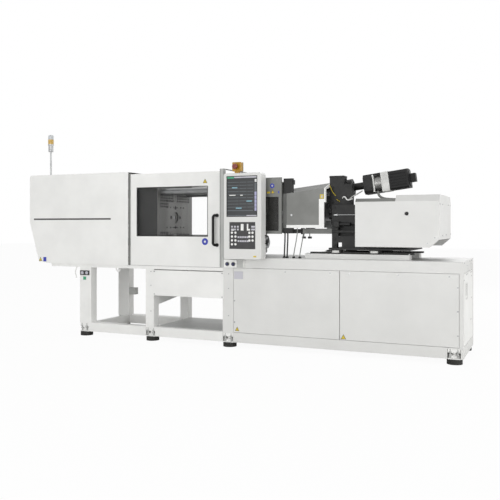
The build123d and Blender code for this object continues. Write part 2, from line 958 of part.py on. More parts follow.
for side, place in ((-1, "front"), (1, "rear")):
    with BuildPart() as door:
        door_tray(side)
        door_glides(side)
    keep(door, place + "_door")
    with BuildPart() as pane:
        door_pane(side)
    keep(pane, place + "_window")
    with BuildPart() as bow_bar:
        bow_handle(side)
    keep(bow_bar, place + "_handle")

# Corners of the tie bars around the injection axis
tie_bar_corners = [(centre_y + sy * tie_bar_pitch / 2, axis_z + sz * tie_bar_pitch / 2)
                   for sy in mirror_sides for sz in mirror_sides]
platen_low_y = centre_y - platen_width / 2
platen_high_y = centre_y + platen_width / 2


# A platen block with chamfered long edges and its four tie-bar bores
def platen_block(x0, thickness):
    with BuildSketch(Plane.YZ.offset(x0)) as outline:
        with Locations((centre_y, axis_z)):
            Rectangle(platen_width, platen_height)
        chamfer(outline.vertices(), platen_chamfer)
    extrude(outline.sketch, amount=thickness)
    for y_bar, z_bar in tie_bar_corners:
        rod_x(x0, x0 + thickness, y_bar, z_bar, tie_bar_radius + bush_clearance, Mode.SUBTRACT)


# The bolt holes for the mould in a platen face
def mould_holes(x_face, direction):
    rows = [-outer_hole_z, -2.5 * hole_pitch, -1.5 * hole_pitch, 1.5 * hole_pitch, 2.5 * hole_pitch, outer_hole_z]
    columns = [(index - 2.5) * hole_pitch for index in range(6)]
    low = min(x_face, x_face - direction * mould_hole_depth)
    for z_row in rows:
        for y_column in columns:
            if abs(z_row) < outer_hole_z or abs(y_column) < 2 * hole_pitch:
                rod_x(low, low + mould_hole_depth, centre_y + y_column, axis_z + z_row, mould_hole_radius,
                      Mode.SUBTRACT)


# End platen on the left, with its foot on the bed and the bore of the clamp ram
end_platen_right_x = end_platen_x + end_platen_thickness
with BuildPart() as end_platen:
    platen_block(end_platen_x, end_platen_thickness)
    block(end_platen_x, end_platen_right_x, platen_low_y + platen_foot_inset, platen_high_y - platen_foot_inset,
          bed_top_z, platen_bottom_z)
    rod_x(end_platen_x, end_platen_right_x, centre_y, axis_z, ram_radius + ram_clearance, Mode.SUBTRACT)
keep(end_platen, "end_platen")

# Fixed platen on the base, bored for the nozzle
fixed_platen_right_x = fixed_platen_x + fixed_platen_thickness
with BuildPart() as fixed_platen:
    platen_block(fixed_platen_x, fixed_platen_thickness)
    block(fixed_platen_x, fixed_platen_right_x, platen_low_y + platen_foot_inset,
          platen_high_y - platen_foot_inset, base_top_z, platen_bottom_z)
    rod_x(fixed_platen_x, fixed_platen_right_x, centre_y, axis_z, nozzle_hole_radius, Mode.SUBTRACT)
    mould_holes(fixed_platen_x, -1)
keep(fixed_platen, "fixed_platen")

# Moving platen with its mould holes, the ejector bore and bronze shoes under it
with BuildPart() as moving_platen:
    platen_block(moving_back_x, moving_platen_thickness)
    rod_x(moving_back_x, moving_platen_x, centre_y, axis_z, ejector_radius + bush_clearance, Mode.SUBTRACT)
    rod_x(moving_platen_x - locating_depth, moving_platen_x, centre_y, axis_z, locating_radius, Mode.SUBTRACT)
    mould_holes(moving_platen_x, 1)
    for side in mirror_sides:
        y_mid = centre_y + side * bed_pitch / 2
        block(moving_platen_x - shoe_length - shoe_setback, moving_platen_x - shoe_setback, y_mid - way_width / 2,
              y_mid + way_width / 2, platen_bottom_z - shoe_height, platen_bottom_z)
keep(moving_platen, "moving_platen")

# Four tie bars, each with a nut at either end
with BuildPart() as tie_bars:
    for y_bar, z_bar in tie_bar_corners:
        rod_x(end_platen_x - tie_bar_head, fixed_platen_right_x + tie_bar_head, y_bar, z_bar, tie_bar_radius)
        for x0 in (end_platen_x - nut_height, fixed_platen_right_x):
            rod_x(x0, x0 + nut_height, y_bar, z_bar, nut_radius)
keep(tie_bars, "tie_bars")

# Clamp cylinder behind the end platen
with BuildPart() as clamp_cylinder:
    rod_x(cylinder_end_x, end_platen_x, centre_y, axis_z, cylinder_radius)
    rod_x(end_platen_x - cylinder_flange_length, end_platen_x, centre_y, axis_z, cylinder_radius + cylinder_flange)
    rod_x(cylinder_end_x + cylinder_base, end_platen_x, centre_y, axis_z, ram_radius + cylinder_gap, Mode.SUBTRACT)
keep(clamp_cylinder, "clamp_cylinder")

# Clamp ram, bored for the ejector rod
with BuildPart() as clamp_ram:
    rod_x(ram_end_x, moving_back_x, centre_y, axis_z, ram_radius)
    rod_x(moving_back_x - ejector_chamber, moving_back_x, centre_y, axis_z, ejector_chamber_radius, Mode.SUBTRACT)
keep(clamp_ram, "clamp_ram")

# Ejector rod through the moving platen
ejector_front_x = moving_platen_x - ejector_setback
with BuildPart() as ejector_rod:
    rod_x(ejector_front_x - ejector_length, ejector_front_x, centre_y, axis_z, ejector_radius)
    chamfer(ejector_rod.edges().group_by(Axis.X)[-1], ejector_chamfer)
keep(ejector_rod, "ejector_rod")

# Light tower: pole with its socket, amber lens and clear cap
tower_socket_z = hood_top_z + tower_socket_rise
tower_lens_z = hood_top_z + tower_lens_rise
tower_cap_z = hood_top_z + tower_cap_rise
with BuildPart() as tower_pole:
    rod_z(tower_x, tower_y, hood_top_z, hood_top_z + tower_foot, tower_radius)
    rod_z(tower_x, tower_y, hood_top_z, tower_socket_z, tower_pole_radius)
    rod_z(tower_x, tower_y, tower_socket_z, hood_top_z + tower_ring_rise, tower_radius - tower_socket_step)
    rod_z(tower_x, tower_y, hood_top_z + tower_ring_rise, tower_lens_z, tower_radius)
keep(tower_pole, "tower_pole")
with BuildPart() as tower_lens:
    rod_z(tower_x, tower_y, tower_lens_z, tower_cap_z, tower_radius)
keep(tower_lens, "tower_lens")
with BuildPart() as tower_cap:
    rod_z(tower_x, tower_y, tower_cap_z, hood_top_z + tower_rise, tower_radius)
    fillet(tower_cap.edges().group_by(Axis.Z)[-1], tower_round)
keep(tower_cap, "tower_cap")

# Operator panel: housing with a recess for the screen and one for the keys, lugs on its back
console_end_x = console_x + console_width
console_back_y = console_front_y + console_depth
swivel_y = (console_back_y + front_y) / 2
lug_levels = [swivel_first_z, swivel_first_z + swivel_pitch]
with BuildPart() as console_housing:
    block(console_x, console_end_x, console_front_y, console_back_y, console_bottom_z, console_top_z)
    fillet(console_housing.edges().filter_by(Axis.Y), console_corner)
    fillet(console_housing.faces().sort_by(Axis.Y)[0].edges(), console_round)
    block(screen_x, screen_x + screen_width, console_front_y, console_front_y + recess,
          screen_bottom_z, screen_top_z, Mode.SUBTRACT)
    block(keypad_x, keypad_x + keypad_width, console_front_y, console_front_y + recess,
          keypad_bottom_z, keypad_top_z, Mode.SUBTRACT)
    for z_lug in lug_levels:
        low = z_lug + swivel_lug_height + seam
        block(swivel_x - swivel_lug, swivel_x + swivel_lug, swivel_y, console_back_y, low, low + swivel_lug_height)
        rod_z(swivel_x, swivel_y, low, low + swivel_lug_height, swivel_lug)
        rod_z(swivel_x, swivel_y, low, low + swivel_lug_height, swivel_pin_radius + swivel_clearance, Mode.SUBTRACT)
keep(console_housing, "console_housing")
with BuildPart() as console_screen:
    block(screen_x, screen_x + screen_width, console_front_y + recess / 2, console_front_y + recess,
          screen_bottom_z, screen_top_z)
keep(console_screen, "console_screen")

# Key field: a flat sheet with four rows of two round keys on the left and three rows on the right
key_left_x = keypad_x + key_first_x
key_right_x = keypad_x + key_second_x + key_first_x
with BuildPart() as console_keypad:
    block(keypad_x, keypad_x + keypad_width, console_front_y + recess / 2, console_front_y + recess,
          keypad_bottom_z, keypad_top_z)
    for row in range(4):
        z_key = keypad_top_z - key_first_drop - row * key_pitch
        row_keys = [key_left_x, key_left_x + key_pitch]
        if row < 3:
            row_keys += [key_right_x, key_right_x + key_second_pitch]
        for x_key in row_keys:
            rod_y(x_key, console_front_y + recess / 4, console_front_y + recess / 2, z_key, key_radius)
keep(console_keypad, "console_keypad")

# Post behind the operator panel, with its lugs and the swivel pins
with BuildPart() as console_post:
    block(swivel_x - console_post_width / 2, swivel_x + console_post_width / 2, front_y,
          front_y + console_post_depth, base_top_z, console_post_top_z)
    for z_lug in lug_levels:
        block(swivel_x - swivel_lug, swivel_x + swivel_lug, swivel_y, front_y, z_lug, z_lug + swivel_lug_height)
        rod_z(swivel_x, swivel_y, z_lug, z_lug + swivel_lug_height, swivel_lug)
        rod_z(swivel_x, swivel_y, z_lug, z_lug + 2 * swivel_lug_height + swivel_pin_tail, swivel_pin_radius)
keep(console_post, "console_post")

# Emergency stop on the panel's top: box on a short neck, mushroom head on a stem
stop_x = stop_box_x + stop_box_width / 2
stop_z = stop_box_bottom_z + stop_box_height / 2
stop_bore = stop_stem_length + stop_travel + stop_bore_spare
with BuildPart() as stop_box:
    block(stop_box_x, stop_box_x + stop_box_width, console_front_y, console_front_y + stop_box_depth,
          stop_box_bottom_z, stop_box_bottom_z + stop_box_height)
    fillet(stop_box.edges().filter_by(Axis.Y), stop_box_round)
    block(stop_x - stop_neck / 2, stop_x + stop_neck / 2, console_front_y + stop_neck_inset,
          console_front_y + stop_box_depth - stop_neck_inset, console_top_z, stop_box_bottom_z)
    rod_y(stop_x, console_front_y, console_front_y + stop_bore, stop_z, stop_stem_radius + button_clearance,
          Mode.SUBTRACT)
keep(stop_box, "stop_box")
with BuildPart() as stop_button:
    rod_y(stop_x, console_front_y - stop_reach, console_front_y - stop_reach + stop_head_depth, stop_z,
          stop_head_radius)
    rod_y(stop_x, console_front_y - stop_reach, console_front_y + stop_stem_length, stop_z, stop_stem_radius)
    fillet(stop_button.edges().group_by(Axis.Y)[0], stop_head_round)
keep(stop_button, "stop_button")

# Box with two push buttons on the front of the base
button_face_y = front_y - button_box_depth
with BuildPart() as button_box:
    block(button_box_x, button_box_x + button_box_face, button_face_y, front_y, button_box_z,
          button_box_z + button_box_height)
    block(button_box_x + button_box_face, button_box_x + button_box_width, button_face_y + button_box_step,
          front_y, button_box_z, button_box_z + button_box_height)
    for index in range(2):
        rod_y(button_first_x + index * button_pitch, button_face_y,
              button_face_y + button_stem + button_travel + button_spare, button_z,
              button_radius + button_clearance, Mode.SUBTRACT)
keep(button_box, "button_box")
for index, name in enumerate(("start_button", "reset_button")):
    with BuildPart() as push_button:
        rod_y(button_first_x + index * button_pitch, button_face_y - button_reach,
              button_face_y + button_stem, button_z, button_radius)
        fillet(push_button.edges().group_by(Axis.Y)[0], button_round)
    keep(push_button, name)

# Small fittings: blank rating plate, socket plate on the front post, box on the rear post
plate_x = opening_left_x + rating_plate_inset
plate_top_z = fascia_z - rating_plate_drop
socket_x = clamp_post_x + socket_plate_inset
socket_top_z = beam_z - socket_plate_drop
post_box_x = clamp_post_x + clamp_post_width
post_box_y = back_y - post_depth
post_box_top_z = beam_z - post_box_drop
with BuildPart() as fittings:
    block(plate_x, plate_x + rating_plate_width, front_y - plate_thickness, front_y,
          plate_top_z - rating_plate_height, plate_top_z)
    block(socket_x, socket_x + socket_plate_width, front_y - socket_plate_thickness, front_y,
          socket_top_z - socket_plate_height, socket_top_z)
    block(post_box_x, post_box_x + post_box_width, post_box_y, post_box_y + post_box_depth,
          post_box_top_z - post_box_height, post_box_top_z)
keep(fittings, "fittings")

# Two rails on machined pads for the injection carriage
with BuildPart() as carriage_rails:
    for side in mirror_sides:
        y_mid = centre_y + side * way_rail_y
        block(carriage_rail_x - rail_pad_lead, carriage_rail_end_x - rail_pad_short, y_mid - rail_pad_width / 2,
              y_mid + rail_pad_width / 2, base_top_z, base_top_z + rail_pad_height)
        block(carriage_rail_x, carriage_rail_end_x, y_mid - rail_width / 2, y_mid + rail_width / 2,
              base_top_z + rail_pad_height, rail_top_z)
keep(carriage_rails, "carriage_rails")

# Carriage plate on four guide blocks
with BuildPart() as carriage:
    block(carriage_x, carriage_end_x, centre_y - carriage_width / 2, centre_y + carriage_width / 2,
          plate_z, unit_z)
    for side in mirror_sides:
        y_mid = centre_y + side * way_rail_y
        for x0 in (carriage_x + block_first, carriage_x + block_first + block_spacing):
            block(x0, x0 + block_length, y_mid - block_width / 2, y_mid + block_width / 2,
                  plate_z - block_height, plate_z)
            block(x0, x0 + block_length, y_mid - rail_width / 2 - block_bore, y_mid + rail_width / 2 + block_bore,
                  plate_z - block_height, rail_top_z + block_bore, Mode.SUBTRACT)
keep(carriage, "carriage")

# Inclined axis of the feed screw
inclined = Plane(origin=(screw_axis_x, centre_y, screw_axis_z),
                 x_dir=(0, 1, 0), z_dir=(math.cos(math.radians(incline)), 0, math.sin(math.radians(incline))))


# A round part on the inclined axis, from s0 to s1 along it
def on_screw_axis(s0, s1, radius, mode=Mode.ADD):
    with Locations(inclined * Location((0, 0, s0))):
        Cylinder(radius, s1 - s0, align=(Align.CENTER, Align.CENTER, Align.MIN), mode=mode)


# A square part on the inclined axis, from s0 to s1 along it
def square_on_axis(s0, s1, size, mode=Mode.ADD):
    with Locations(inclined * Location((0, 0, s0))):
        Box(size, size, s1 - s0, align=(Align.CENTER, Align.CENTER, Align.MIN), mode=mode)


# The feed head: a slab at the front that stands on the housing, and the core around the feed barrel
slab_low_y = centre_y - unit_half_width + head_slab_inset
slab_high_y = slab_low_y + head_slab_depth
core_high_y = centre_y + head_core_half


def feed_head(margin, mode=Mode.ADD):
    block(unit_head_front_x, unit_head_front_x + head_slab_length + margin, slab_low_y, slab_high_y + margin,
          unit_shoulder_z, unit_head_z + margin, mode)
    block(unit_head_front_x, unit_head_front_x + head_core_length + margin, slab_high_y, core_high_y + margin,
          unit_shoulder_z, unit_head_z + margin, mode)


# Injection housing: a casting on two feet that carries the cylinder and the feed head
with BuildPart() as injection_housing:
    block(unit_front_x, unit_back_x, centre_y - unit_half_width, centre_y + unit_half_width, unit_z, unit_shoulder_z)
    feed_head(0)
    block(unit_head_front_x, unit_front_x, slab_low_y, core_high_y, unit_shoulder_z - head_lip, unit_shoulder_z)
    block(unit_head_front_x, unit_head_front_x + terminal_width, slab_low_y, slab_low_y + terminal_depth,
          unit_head_z, unit_head_z + terminal_height)
    for side in mirror_sides:
        rod_x(unit_front_x - unit_boss, unit_front_x, centre_y + side * tie_rod_y, axis_z, unit_boss_radius)
        block(unit_front_x + unit_pocket_edge, unit_back_x - unit_pocket_edge, centre_y + side * unit_half_width,
              centre_y + side * (unit_half_width - unit_pocket), unit_z + unit_pocket_rise,
              axis_z - unit_pocket_drop, Mode.SUBTRACT)
    block(unit_window_x, unit_window_x + unit_window, centre_y - unit_half_width, centre_y + unit_half_width,
          unit_z, unit_z + unit_window, Mode.SUBTRACT)
    block(unit_front_x, unit_window_x + unit_window, centre_y - unit_half_width + unit_leg,
          centre_y + unit_half_width - unit_leg, unit_z, unit_z + unit_window, Mode.SUBTRACT)
    rod_x(unit_front_x, unit_back_x, centre_y, axis_z, barrel_radius, Mode.SUBTRACT)
    rod_x(unit_head_front_x, unit_front_x, centre_y, axis_z, disc_neck_radius + seam, Mode.SUBTRACT)
    on_screw_axis(-feed_barrel_length, 0, feed_barrel_radius + feed_band + seam, Mode.SUBTRACT)
keep(injection_housing, "injection_housing")

# Injection cylinder: nozzle, heated barrel and the round plate that bolts to the housing
with BuildPart() as injection_barrel:
    with BuildSketch(Plane.XZ.offset(-centre_y)) as profile:
        with BuildLine():
            Polyline(
                (nozzle_x, axis_z),
                (nozzle_x, axis_z + nozzle_tip_radius),
                (nozzle_end_x, axis_z + barrel_radius),
                (disc_x, axis_z + barrel_radius),
                (disc_x, axis_z + disc_radius),
                (disc_x + disc_thickness, axis_z + disc_radius),
                (disc_x + disc_thickness, axis_z + disc_neck_radius),
                (unit_front_x, axis_z + disc_neck_radius),
                (unit_front_x, axis_z),
                close=True,
            )
        make_face()
    revolve(axis=Axis((0, centre_y, axis_z), (1, 0, 0)))
    for index in range(band_count):
        x_band = nozzle_end_x + band_first + index * band_pitch
        rod_x(x_band, x_band + band_length, centre_y, axis_z, barrel_radius + band_thickness)
    block(melt_block_x, melt_block_x + melt_block_length, centre_y - melt_block_half, centre_y + melt_block_half,
          axis_z, axis_z + melt_block_rise)
    rod_x(plunger_tip_x - melt_space, unit_front_x, centre_y, axis_z, plunger_radius + plunger_clearance,
          Mode.SUBTRACT)
keep(injection_barrel, "injection_barrel")

# Plunger with its crosshead and the rod of the drive cylinder
with BuildPart() as injection_plunger:
    rod_x(plunger_tip_x, plunger_plate_x, centre_y, axis_z, plunger_radius)
    block(plunger_plate_x, plunger_plate_x + plunger_plate, centre_y - plunger_plate_half,
          centre_y + plunger_plate_half, axis_z - plunger_plate_rise, axis_z + plunger_plate_rise)
    rod_x(plunger_plate_x + plunger_plate, plunger_rod_end_x, centre_y, axis_z, plunger_rod_radius)
keep(injection_plunger, "injection_plunger")

# Drive cylinder on its bulkhead, which stands on the carriage and stiffens the cover
with BuildPart() as injection_drive:
    rod_x(drive_x, bulkhead_x, centre_y, axis_z, drive_radius)
    rod_x(drive_x + drive_gland, bulkhead_x - drive_base, centre_y, axis_z, drive_bore_radius, Mode.SUBTRACT)
    rod_x(drive_x, drive_x + drive_gland, centre_y, axis_z, plunger_rod_radius + plunger_clearance, Mode.SUBTRACT)
    block(bulkhead_x, bulkhead_x + bulkhead_thickness, centre_y - cover_half + cover_wall,
          centre_y + cover_half - cover_wall, unit_z + bulkhead_foot, bulkhead_top_z)
    block(bulkhead_x, bulkhead_x + bulkhead_thickness, centre_y - carriage_width / 2,
          centre_y + carriage_width / 2, unit_z, unit_z + bulkhead_foot)
    for side in mirror_sides:
        rod_x(unit_back_x, bulkhead_x, centre_y + side * tie_rod_y, axis_z, tie_rod_radius)
keep(injection_drive, "injection_drive")

# Plasticising barrel: rises from the melt block to the flange behind the feed head
flange_start = -neck_length - neck_flange
feed_end = -neck_length - neck_flange_wall
with BuildPart() as feed_barrel:
    on_screw_axis(-feed_barrel_length, feed_end, feed_barrel_radius)
    for index in range(feed_band_count):
        band_start = -feed_barrel_length + feed_band_first + index * feed_band_pitch
        on_screw_axis(band_start, band_start + feed_band_length, feed_barrel_radius + feed_band)
    block(melt_block_x, melt_block_x + melt_block_length, centre_y - melt_block_half + melt_block_step,
          centre_y + melt_block_half - melt_block_step, axis_z + melt_block_rise, screw_axis_z - melt_block_drop)
    on_screw_axis(-feed_barrel_length + feed_tip_wall, feed_end, screw_radius + screw_clearance, Mode.SUBTRACT)
keep(feed_barrel, "feed_barrel")

with BuildPart() as feed_screw:
    on_screw_axis(-feed_barrel_length + feed_tip_wall + screw_tip_gap, gearbox_length - screw_drive_gap, screw_radius)
keep(feed_screw, "feed_screw")

# Reduction gear with the flanged neck that holds it on the feed head, and a lid over the lantern
lid_half = gearbox_size / 2 - gearbox_corner
with BuildPart() as screw_gearbox:
    square_on_axis(0, gearbox_length, gearbox_size)
    chamfer(screw_gearbox.edges().filter_by(lambda edge: abs(edge.length - gearbox_length) < 0.1), gearbox_corner)
    for side in mirror_sides:
        with Locations(inclined * Location((0, side * (lantern_size / 2 + seam + gearbox_lid / 2), 0))):
            Box(2 * lid_half, gearbox_lid, gearbox_length + lantern_length - panel_gap,
                align=(Align.CENTER, Align.CENTER, Align.MIN))
    on_screw_axis(-neck_length, 0, neck_radius)
    on_screw_axis(flange_start, -neck_length, neck_flange_radius)
    on_screw_axis(flange_start, feed_end, feed_barrel_radius + seam, Mode.SUBTRACT)
    on_screw_axis(feed_end, gearbox_length - gearbox_bore_end, screw_radius + screw_clearance, Mode.SUBTRACT)
    feed_head(seam, Mode.SUBTRACT)
keep(screw_gearbox, "screw_gearbox")

# Machined adapter: lantern with side windows, then a solid plate
adapter_plate = gearbox_length + lantern_length
motor_start = adapter_plate + adapter_length
with BuildPart() as motor_adapter:
    square_on_axis(gearbox_length, gearbox_length + lantern_flange, lantern_size)
    on_screw_axis(gearbox_length + lantern_flange, adapter_plate, lantern_size / 2 - lantern_step)
    for index in range(lantern_rib_count):
        rib = gearbox_length + lantern_rib_first + index * lantern_rib_pitch
        on_screw_axis(rib, rib + lantern_rib, lantern_size / 2 - lantern_step / 2)
    square_on_axis(adapter_plate, motor_start, adapter_size)
keep(motor_adapter, "motor_adapter")

# Servo motor: finned square body with its encoder housing
motor_end = motor_start + motor_length
with BuildPart() as servo_motor:
    square_on_axis(motor_start, motor_end, motor_size)
    chamfer(servo_motor.edges().filter_by(lambda edge: abs(edge.length - motor_length) < 0.1), motor_corner)
    for turn in range(4):
        for index in range(-2, 3):
            with Locations(inclined * Location((0, 0, 0), (0, 0, 90 * turn)) *
                           Location((motor_size / 2, index * motor_fin_pitch, motor_start + motor_fin_end))):
                Box(2 * motor_fin_depth, motor_fin_gap, motor_length - 2 * motor_fin_end,
                    align=(Align.CENTER, Align.CENTER, Align.MIN), mode=Mode.SUBTRACT)
    square_on_axis(motor_end, motor_end + encoder_length, encoder_size)
keep(servo_motor, "servo_motor")

# Black shroud at the nozzle end: a tall duct in front, a lower one at the back, and a sill between them
shroud_end_x = shroud_x + shroud_width
shroud_half = tunnel_half - tunnel_wall
shroud_low_y = centre_y - shroud_half
shroud_high_y = centre_y + shroud_half
with BuildPart() as barrel_shroud:
    block(shroud_x, shroud_end_x, shroud_low_y, shroud_low_y + shroud_column, shroud_bottom_z, shroud_top_z)
    fillet(barrel_shroud.edges().filter_by(Axis.X), shroud_round)
    block(shroud_x, shroud_end_x, shroud_high_y - shroud_column, shroud_high_y, shroud_bottom_z,
          axis_z + shroud_back_rise)
    block(shroud_x, shroud_end_x, shroud_low_y + shroud_column / 2, shroud_high_y - shroud_column / 2,
          shroud_bottom_z, shroud_bottom_z + shroud_sill)
    block(shroud_end_x, shroud_end_x + shroud_bump, shroud_low_y + shroud_round, shroud_low_y + shroud_column,
          shroud_top_z - shroud_bump_low, shroud_top_z - shroud_bump_high)
keep(barrel_shroud, "barrel_shroud")


# Section of the barrel tunnel: it slopes up from both top edges to a flat roof
def tunnel_section(x, wall, grow):
    z_edge = tunnel_edge_z + (x - tunnel_x) * tunnel_slope
    low = centre_y - tunnel_half + wall
    high = centre_y + tunnel_half - wall
    with BuildSketch(Plane.YZ.offset(x)) as section:
        with BuildLine():
            Polyline(
                (low, tunnel_lip_z - grow),
                (low, z_edge - wall * 0.3),
                (low + tunnel_shoulder, z_edge + tunnel_rise - wall),
                (high - tunnel_shoulder, z_edge + tunnel_rise - wall),
                (high, z_edge - wall * 0.3),
                (high, tunnel_lip_z - grow),
                close=True,
            )
        make_face()
    return section.sketch


# Grey tunnel over the barrels: front, top and rear sheet, with flanges over the shroud
with BuildPart() as barrel_tunnel:
    loft([tunnel_section(tunnel_x, 0, 0).face(), tunnel_section(tunnel_end_x, 0, 0).face()])
    loft([tunnel_section(tunnel_x - panel_gap, tunnel_wall, panel_gap).face(),
          tunnel_section(tunnel_end_x + panel_gap, tunnel_wall, panel_gap).face()], mode=Mode.SUBTRACT)
    block(shroud_x, shroud_end_x + shroud_bump + seam, shroud_low_y - seam, shroud_low_y + shroud_column + seam,
          tunnel_edge_z - 2 * tunnel_wall, shroud_top_z, Mode.SUBTRACT)
    for side in mirror_sides:
        y_face = centre_y + side * tunnel_half
        block(tunnel_x - tunnel_flange, tunnel_x, y_face, y_face - side * tunnel_wall, tunnel_lip_z,
              tunnel_edge_z - tunnel_wall)
keep(barrel_tunnel, "barrel_tunnel")

# White frame of the tunnel: lips below, a band at its right end, and the rim along the roof
band_x = tunnel_end_x - frame_band
band_top_edge_z = axis_z + frame_band_rise
with BuildPart() as tunnel_frame:
    extrude(tunnel_section(tunnel_end_x, 0, 0), amount=tunnel_head_gap)
    extrude(tunnel_section(tunnel_end_x, frame_border, panel_gap), amount=tunnel_head_gap, mode=Mode.SUBTRACT)
    block(tunnel_end_x, unit_head_front_x, centre_y - tunnel_half, centre_y + tunnel_half, tunnel_lip_z - panel_gap,
          band_top_edge_z - frame_border, Mode.SUBTRACT)
    for side in mirror_sides:
        y_face = centre_y + side * tunnel_half
        block(tunnel_x, tunnel_end_x, y_face, y_face + side * frame_proud, tunnel_lip_z, tunnel_bottom_z)
        block(band_x, tunnel_end_x, y_face, y_face + side * frame_proud, tunnel_bottom_z, band_top_edge_z)
    on_screw_axis(-feed_barrel_length, 0, feed_barrel_radius + feed_band + seam, Mode.SUBTRACT)
keep(tunnel_frame, "tunnel_frame")


# Body of the injection cover, shrunk by a wall
def cover_solid(wall, mode):
    low = centre_y - cover_half + wall
    high = centre_y + cover_half - wall
    for x0, z_top, bevel in ((cover_x, cover_low_z, cover_bevel * 0.6),
                             (cover_step_x + wall, cover_top_z, cover_bevel)):
        with BuildSketch(Plane.YZ.offset(x0)) as section:
            with BuildLine():
                Polyline(
                    (low, cover_bottom_z),
                    (low, cover_side_z - wall * 0.5),
                    (low + bevel, z_top - wall),
                    (high - bevel, z_top - wall),
                    (high, cover_side_z - wall * 0.5),
                    (high, cover_bottom_z),
                    close=True,
                )
            make_face()
        extrude(section.sketch, amount=cover_end_x - wall - x0, mode=mode)


# Injection cover: a sheet shell, open below and towards the housing
cover_low_y = centre_y - cover_half
with BuildPart() as injection_cover:
    cover_solid(0, Mode.ADD)
    cover_solid(cover_wall, Mode.SUBTRACT)
    with BuildSketch(Plane.XZ.offset(-cover_low_y)) as toe:
        with BuildLine():
            Polyline(
                (cover_end_x - cover_toe, cover_bottom_z),
                (cover_end_x, cover_bottom_z + cover_toe_rise),
                (cover_end_x, cover_bottom_z),
                close=True,
            )
        make_face()
    extrude(toe.sketch, amount=-2 * cover_half, mode=Mode.SUBTRACT)
    rod_y(cover_x + cover_hole_x, cover_low_y, cover_low_y + cover_wall, axis_z + cover_hole_rise,
          cover_hole_radius, Mode.SUBTRACT)
keep(injection_cover, "injection_cover")

# Guard around the nozzle, fixed to the platen: top and back cover the nozzle, the barrel end stays open
purge_low_y = centre_y - purge_half
purge_high_y = centre_y + purge_half
with BuildPart() as purge_guard:
    block(fixed_platen_right_x, purge_end_x, purge_low_y, purge_high_y, purge_bottom_z, purge_top_z)
    block(fixed_platen_right_x, purge_end_x - purge_wall, purge_low_y + purge_wall, purge_high_y - purge_wall,
          purge_bottom_z, purge_top_z - purge_wall, Mode.SUBTRACT)
    block(purge_end_x - purge_open_length, purge_end_x, purge_low_y + purge_end_post, purge_high_y,
          purge_bottom_z, purge_top_z, Mode.SUBTRACT)
    block(fixed_platen_right_x + purge_nut_gap, purge_end_x - purge_end_lip, purge_low_y, purge_low_y + purge_wall,
          purge_bottom_z + purge_lip, purge_top_z - purge_lip, Mode.SUBTRACT)
keep(purge_guard, "purge_guard")

# Sliding front of the nozzle guard, hung on the guard's top edge, with its dark window
door_face_y = purge_low_y - glide_gap - purge_door_thickness
hook_z = purge_top_z + glide_gap
with BuildPart() as purge_door:
    block(purge_door_x, purge_end_x, door_face_y, door_face_y + purge_door_thickness,
          purge_bottom_z, hook_z + purge_hook_thickness)
    block(purge_door_x, purge_end_x, door_face_y, purge_low_y + purge_hook, hook_z, hook_z + purge_hook_thickness)
    block(purge_window_x, purge_window_x + purge_window_width, door_face_y, door_face_y + purge_door_thickness,
          purge_window_bottom_z, purge_window_top_z, Mode.SUBTRACT)
keep(purge_door, "purge_door")
with BuildPart() as purge_window:
    pane_y = door_face_y + (purge_door_thickness - purge_window_thickness) / 2
    block(purge_window_x, purge_window_x + purge_window_width, pane_y, pane_y + purge_window_thickness,
          purge_window_bottom_z, purge_window_top_z)
keep(purge_window, "purge_window")

# Cylinder that pulls the nozzle against the mould, with its rod to the housing
touch_y = centre_y - touch_offset
touch_z = axis_z - touch_drop
touch_x = tunnel_x + touch_inset
cap_half = touch_half + touch_cap_step
with BuildPart() as touch_cylinder:
    block(touch_x, touch_x + touch_length, touch_y - touch_half, touch_y + touch_half,
          touch_z - touch_half, touch_z + touch_half)
    block(touch_x - touch_cap, touch_x, touch_y - cap_half, touch_y + cap_half,
          touch_z - cap_half, touch_z + cap_half)
    block(touch_x + touch_length, unit_front_x, touch_y - touch_half, touch_y + touch_half,
          touch_z - touch_half, touch_z + touch_half)
keep(touch_cylinder, "touch_cylinder")


# A flexible lead or hose from a height down to the base, trimmed level at both ends
def hanging_lead(x_top, slant, y, z_top, radius):
    with BuildLine() as route:
        Line((x_top, y, z_top), (x_top - slant, y, base_top_z))
    with BuildSketch(Plane(origin=route.line @ 0, z_dir=route.line % 0)) as section:
        Circle(radius)
    sweep(section.sketch, path=route.line)
    block(x_top - slant - lead_trim, x_top + lead_trim, y - lead_trim, y + lead_trim, z_top, z_top + lead_trim,
          Mode.SUBTRACT)
    block(x_top - slant - lead_trim, x_top + lead_trim, y - lead_trim, y + lead_trim, base_top_z - lead_trim,
          base_top_z + seam, Mode.SUBTRACT)


# Two leads from the shroud and two hoses from the tunnel's lip: they travel with the unit, just above the base
with BuildPart() as unit_leads:
    for index in range(2):
        hanging_lead(shroud_x + lead_first + index * lead_pitch, lead_slant, front_y + lead_setback,
                     shroud_bottom_z - seam, lead_radius)
        hanging_lead(tunnel_x + hose_first + index * hose_pitch, hose_slant, front_y + hose_setback,
                     tunnel_lip_z - seam, hose_radius)
keep(unit_leads, "unit_leads")
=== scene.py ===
import math

import bpy
from mathutils import Matrix, Vector


